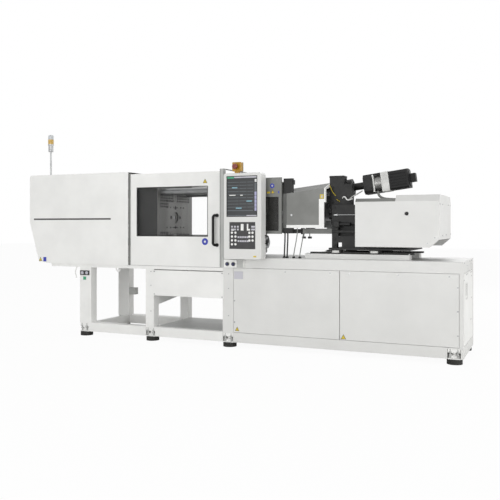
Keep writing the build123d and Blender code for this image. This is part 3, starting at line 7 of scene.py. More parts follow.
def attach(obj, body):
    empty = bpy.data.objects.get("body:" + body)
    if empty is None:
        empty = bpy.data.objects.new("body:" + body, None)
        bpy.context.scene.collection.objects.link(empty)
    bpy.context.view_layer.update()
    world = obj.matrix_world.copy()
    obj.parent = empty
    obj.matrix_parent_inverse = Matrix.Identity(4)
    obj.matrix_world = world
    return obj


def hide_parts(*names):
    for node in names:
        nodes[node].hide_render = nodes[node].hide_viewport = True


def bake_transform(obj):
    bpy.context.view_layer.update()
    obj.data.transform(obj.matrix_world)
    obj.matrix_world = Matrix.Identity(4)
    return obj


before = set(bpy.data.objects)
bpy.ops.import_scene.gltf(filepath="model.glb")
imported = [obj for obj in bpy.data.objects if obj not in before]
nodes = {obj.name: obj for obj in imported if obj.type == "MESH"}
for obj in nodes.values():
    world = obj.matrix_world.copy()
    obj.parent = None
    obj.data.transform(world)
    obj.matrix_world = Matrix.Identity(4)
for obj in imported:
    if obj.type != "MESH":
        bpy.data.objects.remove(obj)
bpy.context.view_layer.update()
print("frame loaded:", len(nodes), "nodes")

# Helpers for materials

def hexToLinear(text):
    channels = [int(text[i:i + 2], 16) / 255 for i in (1, 3, 5)]
    return [c / 12.92 if c <= 0.04045 else ((c + 0.055) / 1.055) ** 2.4 for c in channels] + [1.0]


def addNode(material, kind, settings=None, inputs=None):
    node = material.node_tree.nodes.new(kind)
    for name, value in (settings or {}).items():
        setattr(node, name, value)
    for name, value in (inputs or {}).items():
        if isinstance(value, bpy.types.NodeSocket):
            material.node_tree.links.new(value, node.inputs[name])
        else:
            node.inputs[name].default_value = value
    return node


def newMaterial(name):
    material = bpy.data.materials.new(name)
    material.use_nodes = True
    material.node_tree.nodes.clear()
    return material


# Every finish: two close tones that drift over patternMm, how rough, and how deep the surface texture is.
# stretch draws the pattern out along X, Y or Z, as grinding and brushing marks are.
finishes = {
    # powder coat, baked on sheet steel: a faint orange peel, drawn at 30 mm because the real 2 mm doesn't show
    "powderWhite": {"tone": "#ebebe9", "drift": "#e5e5e3", "patternMm": 260, "rough": 0.42, "grainMm": 30,
                    "bumpMm": 0.10, "coat": 0.12, "slot": "white_enamel"},
    # the same coat made greyer on the screwed panels and the injection cover: painted shade
    "powderPanel": {"tone": "#d8d8d6", "drift": "#d3d3d1", "patternMm": 320, "rough": 0.45, "grainMm": 30,
                    "bumpMm": 0.12, "coat": 0.10, "slot": "panel_enamel"},
    # light grey machine paint on posts and brackets
    "greyPaint": {"tone": "#b4b5b3", "drift": "#acadab", "patternMm": 180, "rough": 0.5, "grainMm": 26,
                  "bumpMm": 0.10, "coat": 0.05, "slot": "post_grey"},
    # mid grey powder coat on the guards round the nozzle and barrels
    "guardPaint": {"tone": "#7b7c79", "drift": "#70716e", "patternMm": 200, "rough": 0.5, "grainMm": 26,
                   "bumpMm": 0.12, "coat": 0.05, "slot": "guard_grey"},
    # the guards' folded edges: the same paint darkened as painted shade
    "guardPaintShaded": {"tone": "#5b5c5a", "drift": "#515250", "patternMm": 120, "rough": 0.55, "grainMm": 26,
                  "bumpMm": 0.12, "slot": "guard_grey"},
    # satin black paint on sand-cast iron: the casting skin shows as soft lumps
    "blackCasting": {"tone": "#262625", "drift": "#1b1b1b", "patternMm": 90, "rough": 0.55, "grainMm": 12,
                     "bumpMm": 0.35, "shine": 0.35, "slot": "black_enamel"},
    # black anodised fins and housing of the servo motor, duller than the castings
    "motorBlack": {"tone": "#151515", "drift": "#0f0f0f", "patternMm": 60, "rough": 0.55, "grainMm": 5,
                   "bumpMm": 0.08, "shine": 0.3, "slot": "black_enamel"},
    # machined and oiled cast iron: warm grey, cutter marks along Z
    "platenIron": {"tone": "#787876", "drift": "#656563", "patternMm": 130, "rough": 0.38, "grainMm": 7,
                   "bumpMm": 0.06, "metal": 0.6, "stretch": (1, 1, 0.12), "slot": "platen_iron"},
    # ground and zinc-plated steel: cool and bright with short grinding marks
    "groundSteel": {"tone": "#b3b4b4", "drift": "#a1a2a3", "patternMm": 60, "rough": 0.34, "grainMm": 4,
                    "bumpMm": 0.05, "metal": 0.85, "stretch": (0.15, 1, 1), "slot": "ground_steel"},
    # ground tie bars: chrome darkened in colour as painted shade for the dark surroundings they reflect, with streaks
    # along the bar
    "oiledBar": {"tone": "#959697", "drift": "#828384", "patternMm": 90, "rough": 0.3, "grainMm": 6,
                 "bumpMm": 0.03, "metal": 0.9, "stretch": (0.1, 1, 1), "slot": "bar_chrome"},
    # hard chrome on ground bars: a near mirror with faint rings
    "barChrome": {"tone": "#d4d5d6", "drift": "#c8c9ca", "patternMm": 80, "rough": 0.16, "grainMm": 5,
                  "bumpMm": 0.01, "metal": 1.0, "slot": "bar_chrome"},
    # sand-cast then machined aluminium: soft satin, small pores
    "castAluminium": {"tone": "#a3a3a1", "drift": "#949492", "patternMm": 45, "rough": 0.4, "grainMm": 5,
                      "bumpMm": 0.12, "metal": 0.75, "slot": "cast_aluminium"},
    # moulded black rubber feet: dull, slightly dusty
    "footRubber": {"tone": "#2b2b29", "drift": "#20201e", "patternMm": 40, "rough": 0.8, "grainMm": 6,
                   "bumpMm": 0.3, "slot": "foot_rubber"},
    # glass-filled nylon with a spark-eroded mould grain
    "blackPlastic": {"tone": "#161617", "drift": "#101011", "patternMm": 30, "rough": 0.45, "grainMm": 4,
                     "bumpMm": 0.08, "shine": 0.35, "slot": "black_plastic"},
    # printed membrane sheet, matt charcoal
    "keySheet": {"tone": "#3a3a3b", "drift": "#343435", "patternMm": 60, "rough": 0.6, "grainMm": 3,
                 "bumpMm": 0.03, "slot": "key_sheet"},
    # cable jacket, soft black PVC
    "cableJacket": {"tone": "#222223", "drift": "#1a1a1b", "patternMm": 30, "rough": 0.5, "grainMm": 8,
                    "bumpMm": 0.1, "slot": "cable_rubber"},
    # moulded yellow of the emergency-stop box
    "signalYellow": {"tone": "#b48a20", "drift": "#a67d1b", "patternMm": 30, "rough": 0.4, "grainMm": 4,
                     "bumpMm": 0.05, "slot": "yellow_plastic"},
    # moulded red of its mushroom head
    "signalRed": {"tone": "#7c1a10", "drift": "#70150c", "patternMm": 20, "rough": 0.3, "grainMm": 4,
                  "bumpMm": 0.03, "coat": 0.4, "slot": "red_plastic"},
}


def driftingMaterial(name, recipe):
    material = newMaterial(name)
    place = addNode(material, "ShaderNodeTexCoord").outputs["Object"]
    if "stretch" in recipe:
        place = addNode(material, "ShaderNodeMapping", {"vector_type": "POINT"},
                        {"Vector": place, "Scale": recipe["stretch"]}).outputs["Vector"]
    drift = addNode(material, "ShaderNodeTexNoise", {},
                    {"Vector": place, "Scale": 1000 / recipe["patternMm"], "Detail": 3.0, "Roughness": 0.55})
    tone = addNode(material, "ShaderNodeValToRGB", {}, {"Fac": drift.outputs["Fac"]})
    tone.color_ramp.elements[0].position = 0.35
    tone.color_ramp.elements[1].position = 0.65
    tone.color_ramp.elements[0].color = hexToLinear(recipe["drift"])
    tone.color_ramp.elements[1].color = hexToLinear(recipe["tone"])
    grain = addNode(material, "ShaderNodeTexNoise", {},
                    {"Vector": place, "Scale": 1000 / recipe["grainMm"], "Detail": 4.0, "Roughness": 0.6})
    rough = addNode(material, "ShaderNodeMapRange", {},
                    {"Value": grain.outputs["Fac"], "From Min": 0.3, "From Max": 0.7,
                     "To Min": recipe["rough"] - 0.05, "To Max": recipe["rough"] + 0.06})
    bump = addNode(material, "ShaderNodeBump", {},
                   {"Height": grain.outputs["Fac"], "Strength": 0.6, "Distance": recipe["bumpMm"] / 1000})
    shader = addNode(material, "ShaderNodeBsdfPrincipled", {},
                     {"Base Color": tone.outputs["Color"], "Roughness": rough.outputs["Result"],
                      "Normal": bump.outputs["Normal"], "Metallic": recipe.get("metal", 0.0),
                      "Specular IOR Level": recipe.get("shine", 0.5),
                      "Coat Weight": recipe.get("coat", 0.0), "Coat Roughness": 0.3})
    addNode(material, "ShaderNodeOutputMaterial", {}, {"Surface": shader.outputs["BSDF"]})
    return material


materials = {name: driftingMaterial(name, recipe) for name, recipe in finishes.items()}
slots = {name: recipe["slot"] for name, recipe in finishes.items()}

# Sheets you look through: the share seen through them, its tint, and the sheen on the rest
seeThrough = {
    # clear polycarbonate of the door windows, with a light sheen and faint wiping marks
    "clearSheet": {"tint": "#ffffff", "surface": "#f4f7f7", "see": 0.99, "rough": 0.08, "smearMm": 220,
                   "slot": "clear_sheet"},
    # smoked polycarbonate of the nozzle guard: the barrel just shows behind it
    "darkSheet": {"tint": "#a3a3a1", "surface": "#565654", "see": 0.74, "rough": 0.12, "smearMm": 160,
                  "slot": "dark_sheet"},
}
for name, recipe in seeThrough.items():
    material = newMaterial(name)
    place = addNode(material, "ShaderNodeTexCoord").outputs["Object"]
    smear = addNode(material, "ShaderNodeTexNoise", {}, {"Vector": place, "Scale": 1000 / recipe["smearMm"]})
    rough = addNode(material, "ShaderNodeMapRange", {},
                    {"Value": smear.outputs["Fac"], "To Min": recipe["rough"] * 0.5, "To Max": recipe["rough"] * 1.6})
    gloss = addNode(material, "ShaderNodeBsdfPrincipled", {},
                    {"Base Color": hexToLinear(recipe["surface"]), "Roughness": rough.outputs["Result"]})
    through = addNode(material, "ShaderNodeBsdfTransparent", {}, {"Color": hexToLinear(recipe["tint"])})
    both = addNode(material, "ShaderNodeMixShader", {}, {"Fac": recipe["see"]})
    material.node_tree.links.new(gloss.outputs["BSDF"], both.inputs[1])
    material.node_tree.links.new(through.outputs["BSDF"], both.inputs[2])
    addNode(material, "ShaderNodeOutputMaterial", {}, {"Surface": both.outputs["Shader"]})
    materials[name] = material
    slots[name] = recipe["slot"]

# Glossy solids: screen glass, and the two lenses of the light tower
glossy = {
    # display behind glass, switched on: dark blue-grey
    "screenGlass": {"tone": "#24282a", "drift": "#1e2123", "patternMm": 90, "rough": 0.35, "coat": 0.1,
                    "slot": "screen_glass"},
    # moulded amber lens with fine ribs
    "amberLens": {"tone": "#c9a650", "drift": "#b99440", "patternMm": 14, "rough": 0.22, "slot": "amber_lens"},
    # milky clear cap
    "clearCap": {"tone": "#c6c9cb", "drift": "#b9bcbe", "patternMm": 20, "rough": 0.2, "slot": "clear_cap"},
}
for name, recipe in glossy.items():
    material = driftingMaterial(name, {"coat": 0.5, **recipe, "grainMm": 60, "bumpMm": 0.02})
    materials[name] = material
    slots[name] = recipe["slot"]
print("materials made:", len(materials))

# Finishes of the carried-over nodes

nodeFinish = {
    "powderWhite": ["clamp_stand", "end_panel", "parts_chute", "clamp_hood", "front_door", "rear_door", "button_box",
                    "tunnel_frame", "levelling_jacks"],
    # powderPanel is the white coat darkened as painted shade
    "powderPanel": ["base_frame", "front_panels", "rear_panels", "injection_cover", "console_housing",
                    "carriage_rails"],
    "greyPaint": ["floor_tray", "door_posts", "console_post", "fittings"],
    "guardPaint": ["barrel_tunnel", "purge_guard", "purge_door", "touch_cylinder"],
    "blackCasting": ["carriage", "injection_housing", "injection_drive", "screw_gearbox", "barrel_shroud"],
    "motorBlack": ["servo_motor"],
    "platenIron": ["clamp_bed", "end_platen", "fixed_platen", "moving_platen", "clamp_cylinder"],
    "groundSteel": ["panel_screws", "door_tracks", "tower_pole", "injection_barrel", "feed_barrel", "feed_screw"],
    # oiledBar is chrome darkened as painted shade
    "oiledBar": ["tie_bars", "ejector_rod"],
    "barChrome": ["clamp_ram", "injection_plunger"],
    "castAluminium": ["motor_adapter"],
    "footRubber": ["rubber_feet"],
    "clearSheet": ["front_window", "rear_window"],
    "darkSheet": ["purge_window"],
    "blackPlastic": ["front_handle", "rear_handle", "start_button", "reset_button"],
    "screenGlass": ["console_screen"],
    "keySheet": ["console_keypad"],
    "amberLens": ["tower_lens"],
    "clearCap": ["tower_cap"],
    "signalYellow": ["stop_box"],
    "signalRed": ["stop_button"],
    "cableJacket": ["unit_leads"],
}
for finish, names in nodeFinish.items():
    for name in names:
        mesh = nodes[name].data
        mesh.materials.clear()
        mesh.materials.append(materials[finish])

# Printed foil and vinyl: small blank colour plates, flat and satin, with a faint unevenness of the print
prints = {"printGrey": "#4c4c4a", "printYellow": "#cdb52a", "printBlue": "#3440a8", "printGreen": "#3f9b72",
          "printLilac": "#a7a6c6", "printWhite": "#e6e6e4", "printCyan": "#7faab8", "printSlate": "#565b5f",
          "printPlate": "#bdbcc4", "printBlack": "#2a2a2b", "printNavy": "#22264a"}
for name, tone in prints.items():
    materials[name] = driftingMaterial(name, {"tone": tone, "drift": tone, "patternMm": 25, "rough": 0.45,
                                              "grainMm": 6, "bumpMm": 0.01})

# Helpers for modelling, sizes in millimetres

mm = 0.001
front, back, left, right, up = (0, -1, 0), (0, 1, 0), (-1, 0, 0), (1, 0, 0), (0, 0, 1)


def deselectAll():
    if bpy.context.object is not None and bpy.context.object.mode != "OBJECT":
        bpy.ops.object.mode_set(mode="OBJECT")
    bpy.ops.object.select_all(action="DESELECT")


def keepPlace(name):
    piece = bpy.context.object
    piece.name = name
    bpy.ops.object.transform_apply(location=True, rotation=True, scale=True)
    return piece


def startBox(name, low, high):
    deselectAll()
    bpy.ops.mesh.primitive_cube_add(size=1, location=[(a + b) / 2 * mm for a, b in zip(low, high)])
    bpy.context.object.scale = [(b - a) * mm for a, b in zip(low, high)]
    return keepPlace(name)


def startRod(name, start, end, radius, sides=32):
    deselectAll()
    first, last = Vector(start) * mm, Vector(end) * mm
    along = last - first
    turn = along.to_track_quat("Z", "Y").to_euler()
    bpy.ops.mesh.primitive_cylinder_add(vertices=sides, radius=radius * mm, depth=along.length,
                                        location=(first + last) / 2, rotation=turn)
    return keepPlace(name)


# Picks the faces that look along a way, or both along and against it, and stays in edit mode
def editFaces(piece, way, both=False):
    deselectAll()
    piece.select_set(True)
    bpy.context.view_layer.objects.active = piece
    bpy.ops.object.mode_set(mode="EDIT")
    bpy.ops.mesh.select_mode(type="FACE")
    bpy.ops.mesh.select_all(action="DESELECT")
    bpy.ops.object.mode_set(mode="OBJECT")
    for face in piece.data.polygons:
        share = face.normal.dot(Vector(way))
        face.select = (abs(share) if both else share) > 0.9
    bpy.ops.object.mode_set(mode="EDIT")


# Sets those faces in by steps of (width, depth)
def insetFaces(piece, way, *steps, both=False):
    editFaces(piece, way, both)
    for width, depth in steps:
        bpy.ops.mesh.inset(thickness=width * mm, depth=depth * mm, use_individual=both)
    bpy.ops.object.mode_set(mode="OBJECT")
    return piece


# Opens a hole from face to face, which leaves a rim of the given width
def openHole(piece, way, width):
    editFaces(piece, way, both=True)
    bpy.ops.mesh.inset(thickness=width * mm, use_individual=True)
    bpy.ops.mesh.bridge_edge_loops()
    bpy.ops.mesh.select_all(action="SELECT")
    bpy.ops.mesh.normals_make_consistent(inside=False)
    bpy.ops.object.mode_set(mode="OBJECT")
    return piece


def softenEdges(piece, width, segments=2):
    deselectAll()
    piece.select_set(True)
    bpy.context.view_layer.objects.active = piece
    soften = piece.modifiers.new("soften", "BEVEL")
    soften.width = width * mm
    soften.segments = segments
    soften.limit_method = "ANGLE"
    soften.angle_limit = math.radians(40)
    bpy.ops.object.modifier_apply(modifier="soften")


def finishPiece(piece, body, finish, soften=0.0, smooth=35):
    if soften:
        softenEdges(piece, soften)
    deselectAll()
    piece.select_set(True)
    bpy.context.view_layer.objects.active = piece
    bpy.ops.object.shade_smooth_by_angle(angle=math.radians(smooth))
    piece.data.materials.clear()
    piece.data.materials.append(materials[finish])
    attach(piece, body)
    return piece


def joinPieces(name, pieces):
    deselectAll()
    for piece in pieces:
        piece.select_set(True)
    bpy.context.view_layer.objects.active = pieces[0]
    if len(pieces) > 1:
        bpy.ops.object.join()
    pieces[0].name = name
    return pieces[0]


# Copies of one master, each with its own mesh, stood at (point, direction) and joined
def scatter(master, name, places):
    made = []
    for point, direction in places:
        piece = master.copy()
        piece.data = master.data.copy()
        bpy.context.scene.collection.objects.link(piece)
        turn = Vector(direction).to_track_quat("Z", "Y").to_matrix().to_4x4()
        piece.data.transform(Matrix.Translation(Vector(point) * mm) @ turn)
        made.append(piece)
    bpy.data.objects.remove(master)
    return joinPieces(name, made)


# A rounded plate proud of a face, with a small step pressed into its front
def blankPlate(name, low, high, body, finish, normal, soften=0.8):
    edge = min(sorted(b - a for a, b in zip(low, high))[1:]) * 0.08
    piece = insetFaces(startBox(name, low, high), normal, (edge, -0.1))
    return finishPiece(piece, body, finish, soften if soften < edge else 0.0)


# A frame round a hole: a box whose front and back faces are set in and bridged
def openFrame(name, low, high, width, normal, body, finish, soften=1.0):
    return finishPiece(openHole(startBox(name, low, high), normal, width), body, finish, soften)


# Socket-head screw, head only, standing on its face and pointing along +Z
def socketHead(radius, height, sides=14):
    piece = startRod("screwHead", (0, 0, 0), (0, 0, height), radius, sides)
    editFaces(piece, up)
    bpy.ops.mesh.inset(thickness=radius * 0.12 * mm)
    bpy.ops.mesh.inset(thickness=radius * 0.36 * mm)
    bpy.ops.mesh.extrude_region_move(TRANSFORM_OT_translate={"value": (0, 0, -height * 0.5 * mm)})
    bpy.ops.object.mode_set(mode="OBJECT")
    return piece


# Hexagon head on a washer
def hexHead(radius, height):
    washer = startRod("washer", (0, 0, 0), (0, 0, height * 0.2), radius * 1.25, 18)
    insetFaces(washer, up, (radius * 0.1, 0))
    head = startRod("hexagon", (0, 0, height * 0.2), (0, 0, height), radius, 6)
    insetFaces(head, up, (radius * 0.15, height * 0.08))
    return joinPieces("hexHead", [washer, head])


# A bent round bar or tube through the given points
def bentBar(name, points, radius, body, finish, sides=8, smoothness=8):
    curve = bpy.data.curves.new(name, "CURVE")
    curve.dimensions = "3D"
    curve.bevel_depth = radius * mm
    curve.bevel_resolution = sides // 4 + 1
    curve.use_fill_caps = True
    spline = curve.splines.new("NURBS")
    spline.points.add(len(points) - 1)
    for knot, point in zip(spline.points, points):
        knot.co = [c * mm for c in point] + [1]
    spline.order_u = 3
    spline.use_endpoint_u = True
    spline.resolution_u = smoothness
    shape = bpy.data.objects.new(name, curve)
    bpy.context.scene.collection.objects.link(shape)
    deselectAll()
    shape.select_set(True)
    bpy.context.view_layer.objects.active = shape
    bpy.ops.object.convert(target="MESH")
    piece = bpy.context.object
    bpy.ops.object.mode_set(mode="EDIT")
    bpy.ops.mesh.select_all(action="SELECT")
    bpy.ops.mesh.remove_doubles(threshold=0.00005)
    bpy.ops.mesh.normals_make_consistent(inside=False)
    bpy.ops.object.mode_set(mode="OBJECT")
    if body:
        return finishPiece(piece, body, finish)
    return piece


# Front and back of the machine's frame, and the top of its base
frontY, backY, baseTop = -335, 465, 861

# Hood: the stripe, and two blank colour plates on a white label

hood = {"faceY": -350, "stripe": (-2238, -1222, 1226, 1243), "proud": 0.8, "wedge": (-2169, -2123, 770, 816),
        "badge": (-2107, -2066, 774, 822), "label": (-2165, -2046, 773, 829), "labelProud": 0.4,
        "backFaceY": 480}
x0, x1, z0, z1 = hood["stripe"]
blankPlate("hoodStripe", (x0, hood["faceY"] - hood["proud"], z0), (x1, hood["faceY"], z1), "frame", "printGrey",
           front)
blankPlate("hoodStripeRear", (x0, hood["backFaceY"], z0), (x1, hood["backFaceY"] + hood["proud"], z1), "frame",
           "printGrey", back)


# A blank yellow triangle on a face that looks along -Y
def warningPlate(name, x, z, width, faceY, body):
    for part, share, lift, finish in (("Rim", 0.577, 0.0, "printBlack"), ("", 0.44, 0.4, "printYellow")):
        deselectAll()
        bpy.ops.mesh.primitive_cylinder_add(vertices=3, radius=width * share * mm, depth=0.8 * mm,
                                            location=(x * mm, (faceY - 0.4 - lift) * mm, z * mm),
                                            rotation=(math.radians(90), 0, 0))
        piece = keepPlace(name + part)
        insetFaces(piece, front, (width * 0.04, -0.1))
        finishPiece(piece, body, finish, 0.15)


# A blank round plate on a face that looks along -Y
def roundPlate(name, x, z, radius, faceY, body, finish):
    piece = startRod(name, (x, faceY, z), (x, faceY - 0.8, z), radius)
    insetFaces(piece, front, (radius * 0.1, -0.2))
    return finishPiece(piece, body, finish, 0.15)


def middle(span):
    return (span[0] + span[1]) / 2, (span[2] + span[3]) / 2


x0, x1, z0, z1 = hood["label"]
labelY = hood["faceY"] - hood["labelProud"]
blankPlate("hoodLabel", (x0, labelY, z0), (x1, hood["faceY"], z1), "frame", "printWhite", front, 0.2)
warningPlate("hoodMarkYellow", *middle(hood["wedge"]), 46, labelY, "frame")
x0, x1, z0, z1 = hood["badge"]
blankPlate("hoodMarkBlue", (x0, labelY - hood["proud"], z0), (x1, labelY, z1), "frame", "printBlue", front, 4)
print("hood dressed")

# Sliding doors: a rubber gasket in each window, and blank plates

door = {"window": (-914, -94, 1056, 1554), "gasket": 7, "mark": (-125, 1594), "markWidth": 50,
        "badge": (-126, 1008), "badgeRadius": 34, "sheetY": 3}
x0, x1, z0, z1 = door["window"]
openFrame("frontGasket", (x0, frontY + 0.2, z0), (x1, frontY + door["sheetY"], z1), door["gasket"], back,
          "front_gate", "blackPlastic", 0.6)
openFrame("rearGasket", (x0, backY - door["sheetY"], z0), (x1, backY - 0.2, z1), door["gasket"], back,
          "rear_gate", "blackPlastic", 0.6)
warningPlate("doorMarkYellow", *door["mark"], door["markWidth"], frontY, "front_gate")
roundPlate("doorMarkBlue", *door["badge"], door["badgeRadius"], frontY, "front_gate", "printBlue")
roundPlate("doorMarkCentre", *door["badge"], 11, frontY - 0.8, "front_gate", "printWhite")
print("doors dressed")

# Operator panel: generic screen fields, keys, side handle

panel = {"faceY": -475, "screenY": -472, "screen": (175, 490, 1246, 1628), "tile": 0.6, "keyY": -472}
screenTiles = {
    "printGreen": [(183, 250, 1604, 1624)],
    "printPlate": [(254, 486, 1608, 1624), (380, 486, 1250, 1262)],
    "printSlate": [(180, 376, 1250, 1262), (180, 446, 1300, 1308), (462, 486, 1480, 1560)],
    "printCyan": [(232, 286, 1513, 1523), (380, 434, 1387, 1397), (272, 330, 1322, 1332)],
    "printLilac": [(462, 486, z, z + 32) for z in (1302, 1338, 1374, 1410, 1446)],
    "printWhite": [(204, 268, 1444, 1452), (316, 342, 1443, 1451), (463, 486, 1568, 1594)],
}
for finish, tiles in screenTiles.items():
    made = []
    for x0, x1, z0, z1 in tiles:
        tile = startBox("tile", (x0, panel["screenY"] - panel["tile"], z0), (x1, panel["screenY"], z1))
        made.append(insetFaces(tile, front, (1.5, -0.15)))
    finishPiece(joinPieces("screen" + finish[5:], made), "console", finish)

# Thin rules of the data table on the screen
made = []
for row in range(9):
    z = 1566 - row * 29
    for x0, x1 in ((184, 300), (308, 380), (388, 450)):
        rule = startBox("rule", (x0, panel["screenY"] - 0.4, z), (x1, panel["screenY"], z + 5))
        made.append(insetFaces(rule, front, (0.8, -0.1)))
finishPiece(joinPieces("screenRules", made), "console", "printSlate")

x0, x1, z0, z1 = panel["screen"]
openFrame("screenBezel", (x0, panel["faceY"] + 0.4, z0), (x1, panel["screenY"] - 0.2, z1), 7, back, "console",
          "blackPlastic", 0.5)

# Keys: white bars, grey rows, and raised round keys with a dished top
keyMarks = [(322, 350, 1118, 1180), (384, 398, 1118, 1180), (398, 416, 1118, 1134), (224, 248, 1117, 1135)]
made = []
for x0, x1, z0, z1 in keyMarks:
    mark = startBox("mark", (x0, panel["keyY"] - 0.8, z0), (x1, panel["keyY"], z1))
    made.append(insetFaces(mark, front, (1.2, -0.2)))
finishPiece(joinPieces("keyMarks", made), "console", "printWhite")

greyKeys = [(x, z) for z in (1057, 1020) for x in (299, 322, 345, 368, 391)]
greyKeys += [(x, z) for z in (1154, 1128) for x in (232, 262, 292, 438, 456)]
made = []
for x, z in greyKeys:
    key = startBox("key", (x - 9, panel["keyY"] - 1.6, z - 8), (x + 9, panel["keyY"], z + 8))
    made.append(insetFaces(key, front, (2, -0.4)))
finishPiece(joinPieces("greyKeys", made), "console", "printPlate")

roundKeys = [(x, 1098 - row * 36) for row in range(4) for x in (232, 268)]
roundKeys += [(x, 1098 - row * 36) for row in range(3) for x in (410, 442)]
key = insetFaces(startRod("roundKey", (0, 0, 0), (0, 0, 1.4), 11, 20), up, (3, -0.6))
keyCaps = scatter(key, "roundKeys", [((x, panel["keyY"] - 1.5, z), front) for x, z in roundKeys])
finishPiece(keyCaps, "console", "printWhite")
blankPlate("panelMarkYellow", (450, panel["faceY"] - 0.6, 871), (480, panel["faceY"], 885), "console",
           "printYellow", front, 0.2)

# Bail handle on the side of the panel, and the screws that close its back
bentBar("panelBail", [(527, -377, 1070), (548, -377, 1070), (560, -377, 1062), (560, -377, 1035),
                      (560, -377, 1008), (548, -377, 1000), (527, -377, 1000)], 6, "console", "blackPlastic", 12)
backScrews = [((x, -363, z), back) for x in (215, 336, 500) for z in (880, 1260, 1625)]
finishPiece(scatter(socketHead(6, 3), "panelBackScrews", backScrews), "console", "groundSteel")
print("operator panel dressed")

# Emergency stop: black back shell, ring under the mushroom

stop = {"centre": (279, 1714), "faceY": -475, "box": (235, 323, 1671, 1757), "ringRadius": 33}
x0, x1, z0, z1 = stop["box"]
shell = startBox("stopShell", (x0, -430, z0), (x1, -416, z1))
insetFaces(shell, back, (6, 3))
finishPiece(shell, "console", "blackPlastic", 2)
x, z = stop["centre"]
ring = startRod("stopRing", (x, stop["faceY"], z), (x, stop["faceY"] - 4, z), stop["ringRadius"])
insetFaces(ring, front, (3, -1), (12, -1.5))
finishPiece(ring, "console", "signalYellow", 0.6)

# Push buttons: bezels, and the grey cover beside them

buttons = {"x": (137, 200), "z": 798, "faceY": -377, "capY": -391, "cover": (234, 299, 767, 835)}
bezel = openHole(startRod("bezel", (0, 0, 0), (0, 0, 3.5), 22, 28), up, 4)
bezels = scatter(bezel, "buttonBezels", [((x, buttons["faceY"], buttons["z"]), front) for x in buttons["x"]])
finishPiece(bezels, "frame", "groundSteel")
x0, x1, z0, z1 = buttons["cover"]
blankPlate("buttonCover", (x0, -373, z0), (x1, -371, z1), "frame", "greyPaint", front)
for name, x in (("startCap", buttons["x"][0]), ("resetCap", buttons["x"][1])):
    cap = startRod(name, (x, buttons["capY"], buttons["z"]), (x, buttons["capY"] - 1.2, buttons["z"]), 14, 28)
    insetFaces(cap, front, (2, -0.4))
    finishPiece(cap, "start_head" if name == "startCap" else "reset_head", "printNavy")
print("buttons dressed")

# Stand and base: rating plate, double socket, blank marks

blankPlate("ratingPlate", (191, frontY - 3, 655), (282, frontY - 2, 727), "frame", "printPlate", front)
socket = {"plate": (-1621, -1501, 640, 690), "holes": (-1590, -1532), "z": 665, "faceY": -341}
x0, x1, z0, z1 = socket["plate"]
blankPlate("socketPlate", (x0, socket["faceY"] - 2, z0), (x1, socket["faceY"], z1), "frame", "printBlack",
           front, 2)
# Each outlet is a round rim with a sunk middle
outlet = startRod("outlet", (0, 0, 0), (0, 0, 5), 17, 24)
editFaces(outlet, up)
bpy.ops.mesh.inset(thickness=3 * mm, depth=0)
bpy.ops.mesh.extrude_region_move(TRANSFORM_OT_translate={"value": (0, 0, -3 * mm)})
bpy.ops.object.mode_set(mode="OBJECT")
outlets = scatter(outlet, "socketRims", [((x, socket["faceY"] - 2, socket["z"]), front) for x in socket["holes"]])
finishPiece(outlets, "frame", "printPlate")
blankPlate("postMarkWhite", (-1614, frontY - 0.6, 577), (-1544, frontY, 628), "frame", "printWhite", front, 0.2)
blankPlate("postMarkGreen", (-1584, frontY - 1.0, 590), (-1546, frontY - 0.5, 624), "frame", "printGreen",
           front, 0.1)
warningPlate("baseMarkLeft", 221, 171, 46, frontY, "frame")
warningPlate("baseMarkRight", 1267, 164, 50, frontY, "frame")

# Two levelling screws with lock nuts at each foot
jack = {"x": (-1627, -804, 67, 2165), "y": (-335, 370), "screwX": (24, 86), "screwY": 12, "radius": 8}
studs = []
for x in jack["x"]:
    for y in jack["y"]:
        for dx in jack["screwX"]:
            foot = (x + dx, y + jack["screwY"], 52)
            stud = startRod("stud", foot, (*foot[:2], 128), jack["radius"], 14)
            studs.append(insetFaces(stud, up, (2, 1.5)))
finishPiece(joinPieces("jackStuds", studs), "frame", "greyPaint")
nuts = [((x + dx, y + jack["screwY"], z), up)
        for x in jack["x"] for y in jack["y"] for dx in jack["screwX"] for z in (76, 98)]
finishPiece(scatter(hexHead(13, 11), "jackNuts", nuts), "frame", "greyPaint")
print("stand and base dressed")

# Nozzle guard: blank plates on its door, a gasket and a knob
guard = {"faceY": -310.3, "window": (400, 636, 1116, 1434), "gasket": 5, "knob": (318, 1290)}
roundPlate("guardMarkBlue", 572, 1538, 22, guard["faceY"], "purge_gate", "printBlue")
roundPlate("guardMarkBlueCentre", 572, 1538, 9, guard["faceY"] - 0.8, "purge_gate", "printPlate")
warningPlate("guardMarkYellow", 577, 1477, 40, guard["faceY"], "purge_gate")
blankPlate("guardMarkNarrow", (519, guard["faceY"] - 0.6, 1467), (550, guard["faceY"], 1484), "purge_gate",
           "printYellow", front, 0.2)
blankPlate("guardMarkSmall", (631, guard["faceY"] - 0.6, 1466), (643, guard["faceY"], 1487), "purge_gate",
           "printBlue", front, 0.1)
x0, x1, z0, z1 = guard["window"]
openFrame("guardGasket", (x0, guard["faceY"] - 1.5, z0), (x1, guard["faceY"] + 1, z1), guard["gasket"], back,
          "purge_gate", "blackPlastic", 0.4)
knob = startRod("guardKnob", (guard["knob"][0], guard["faceY"], guard["knob"][1]),
                (guard["knob"][0], guard["faceY"] - 22, guard["knob"][1]), 12, 24)
insetFaces(knob, front, (3, -1))
finishPiece(knob, "purge_gate", "blackPlastic", 2)
hinges = [((x, guard["faceY"], 1602), front) for x in (305, 420, 540, 645)]
finishPiece(scatter(socketHead(4, 2.5), "guardScrews", hinges), "purge_gate", "guardPaint")
print("nozzle guard dressed")

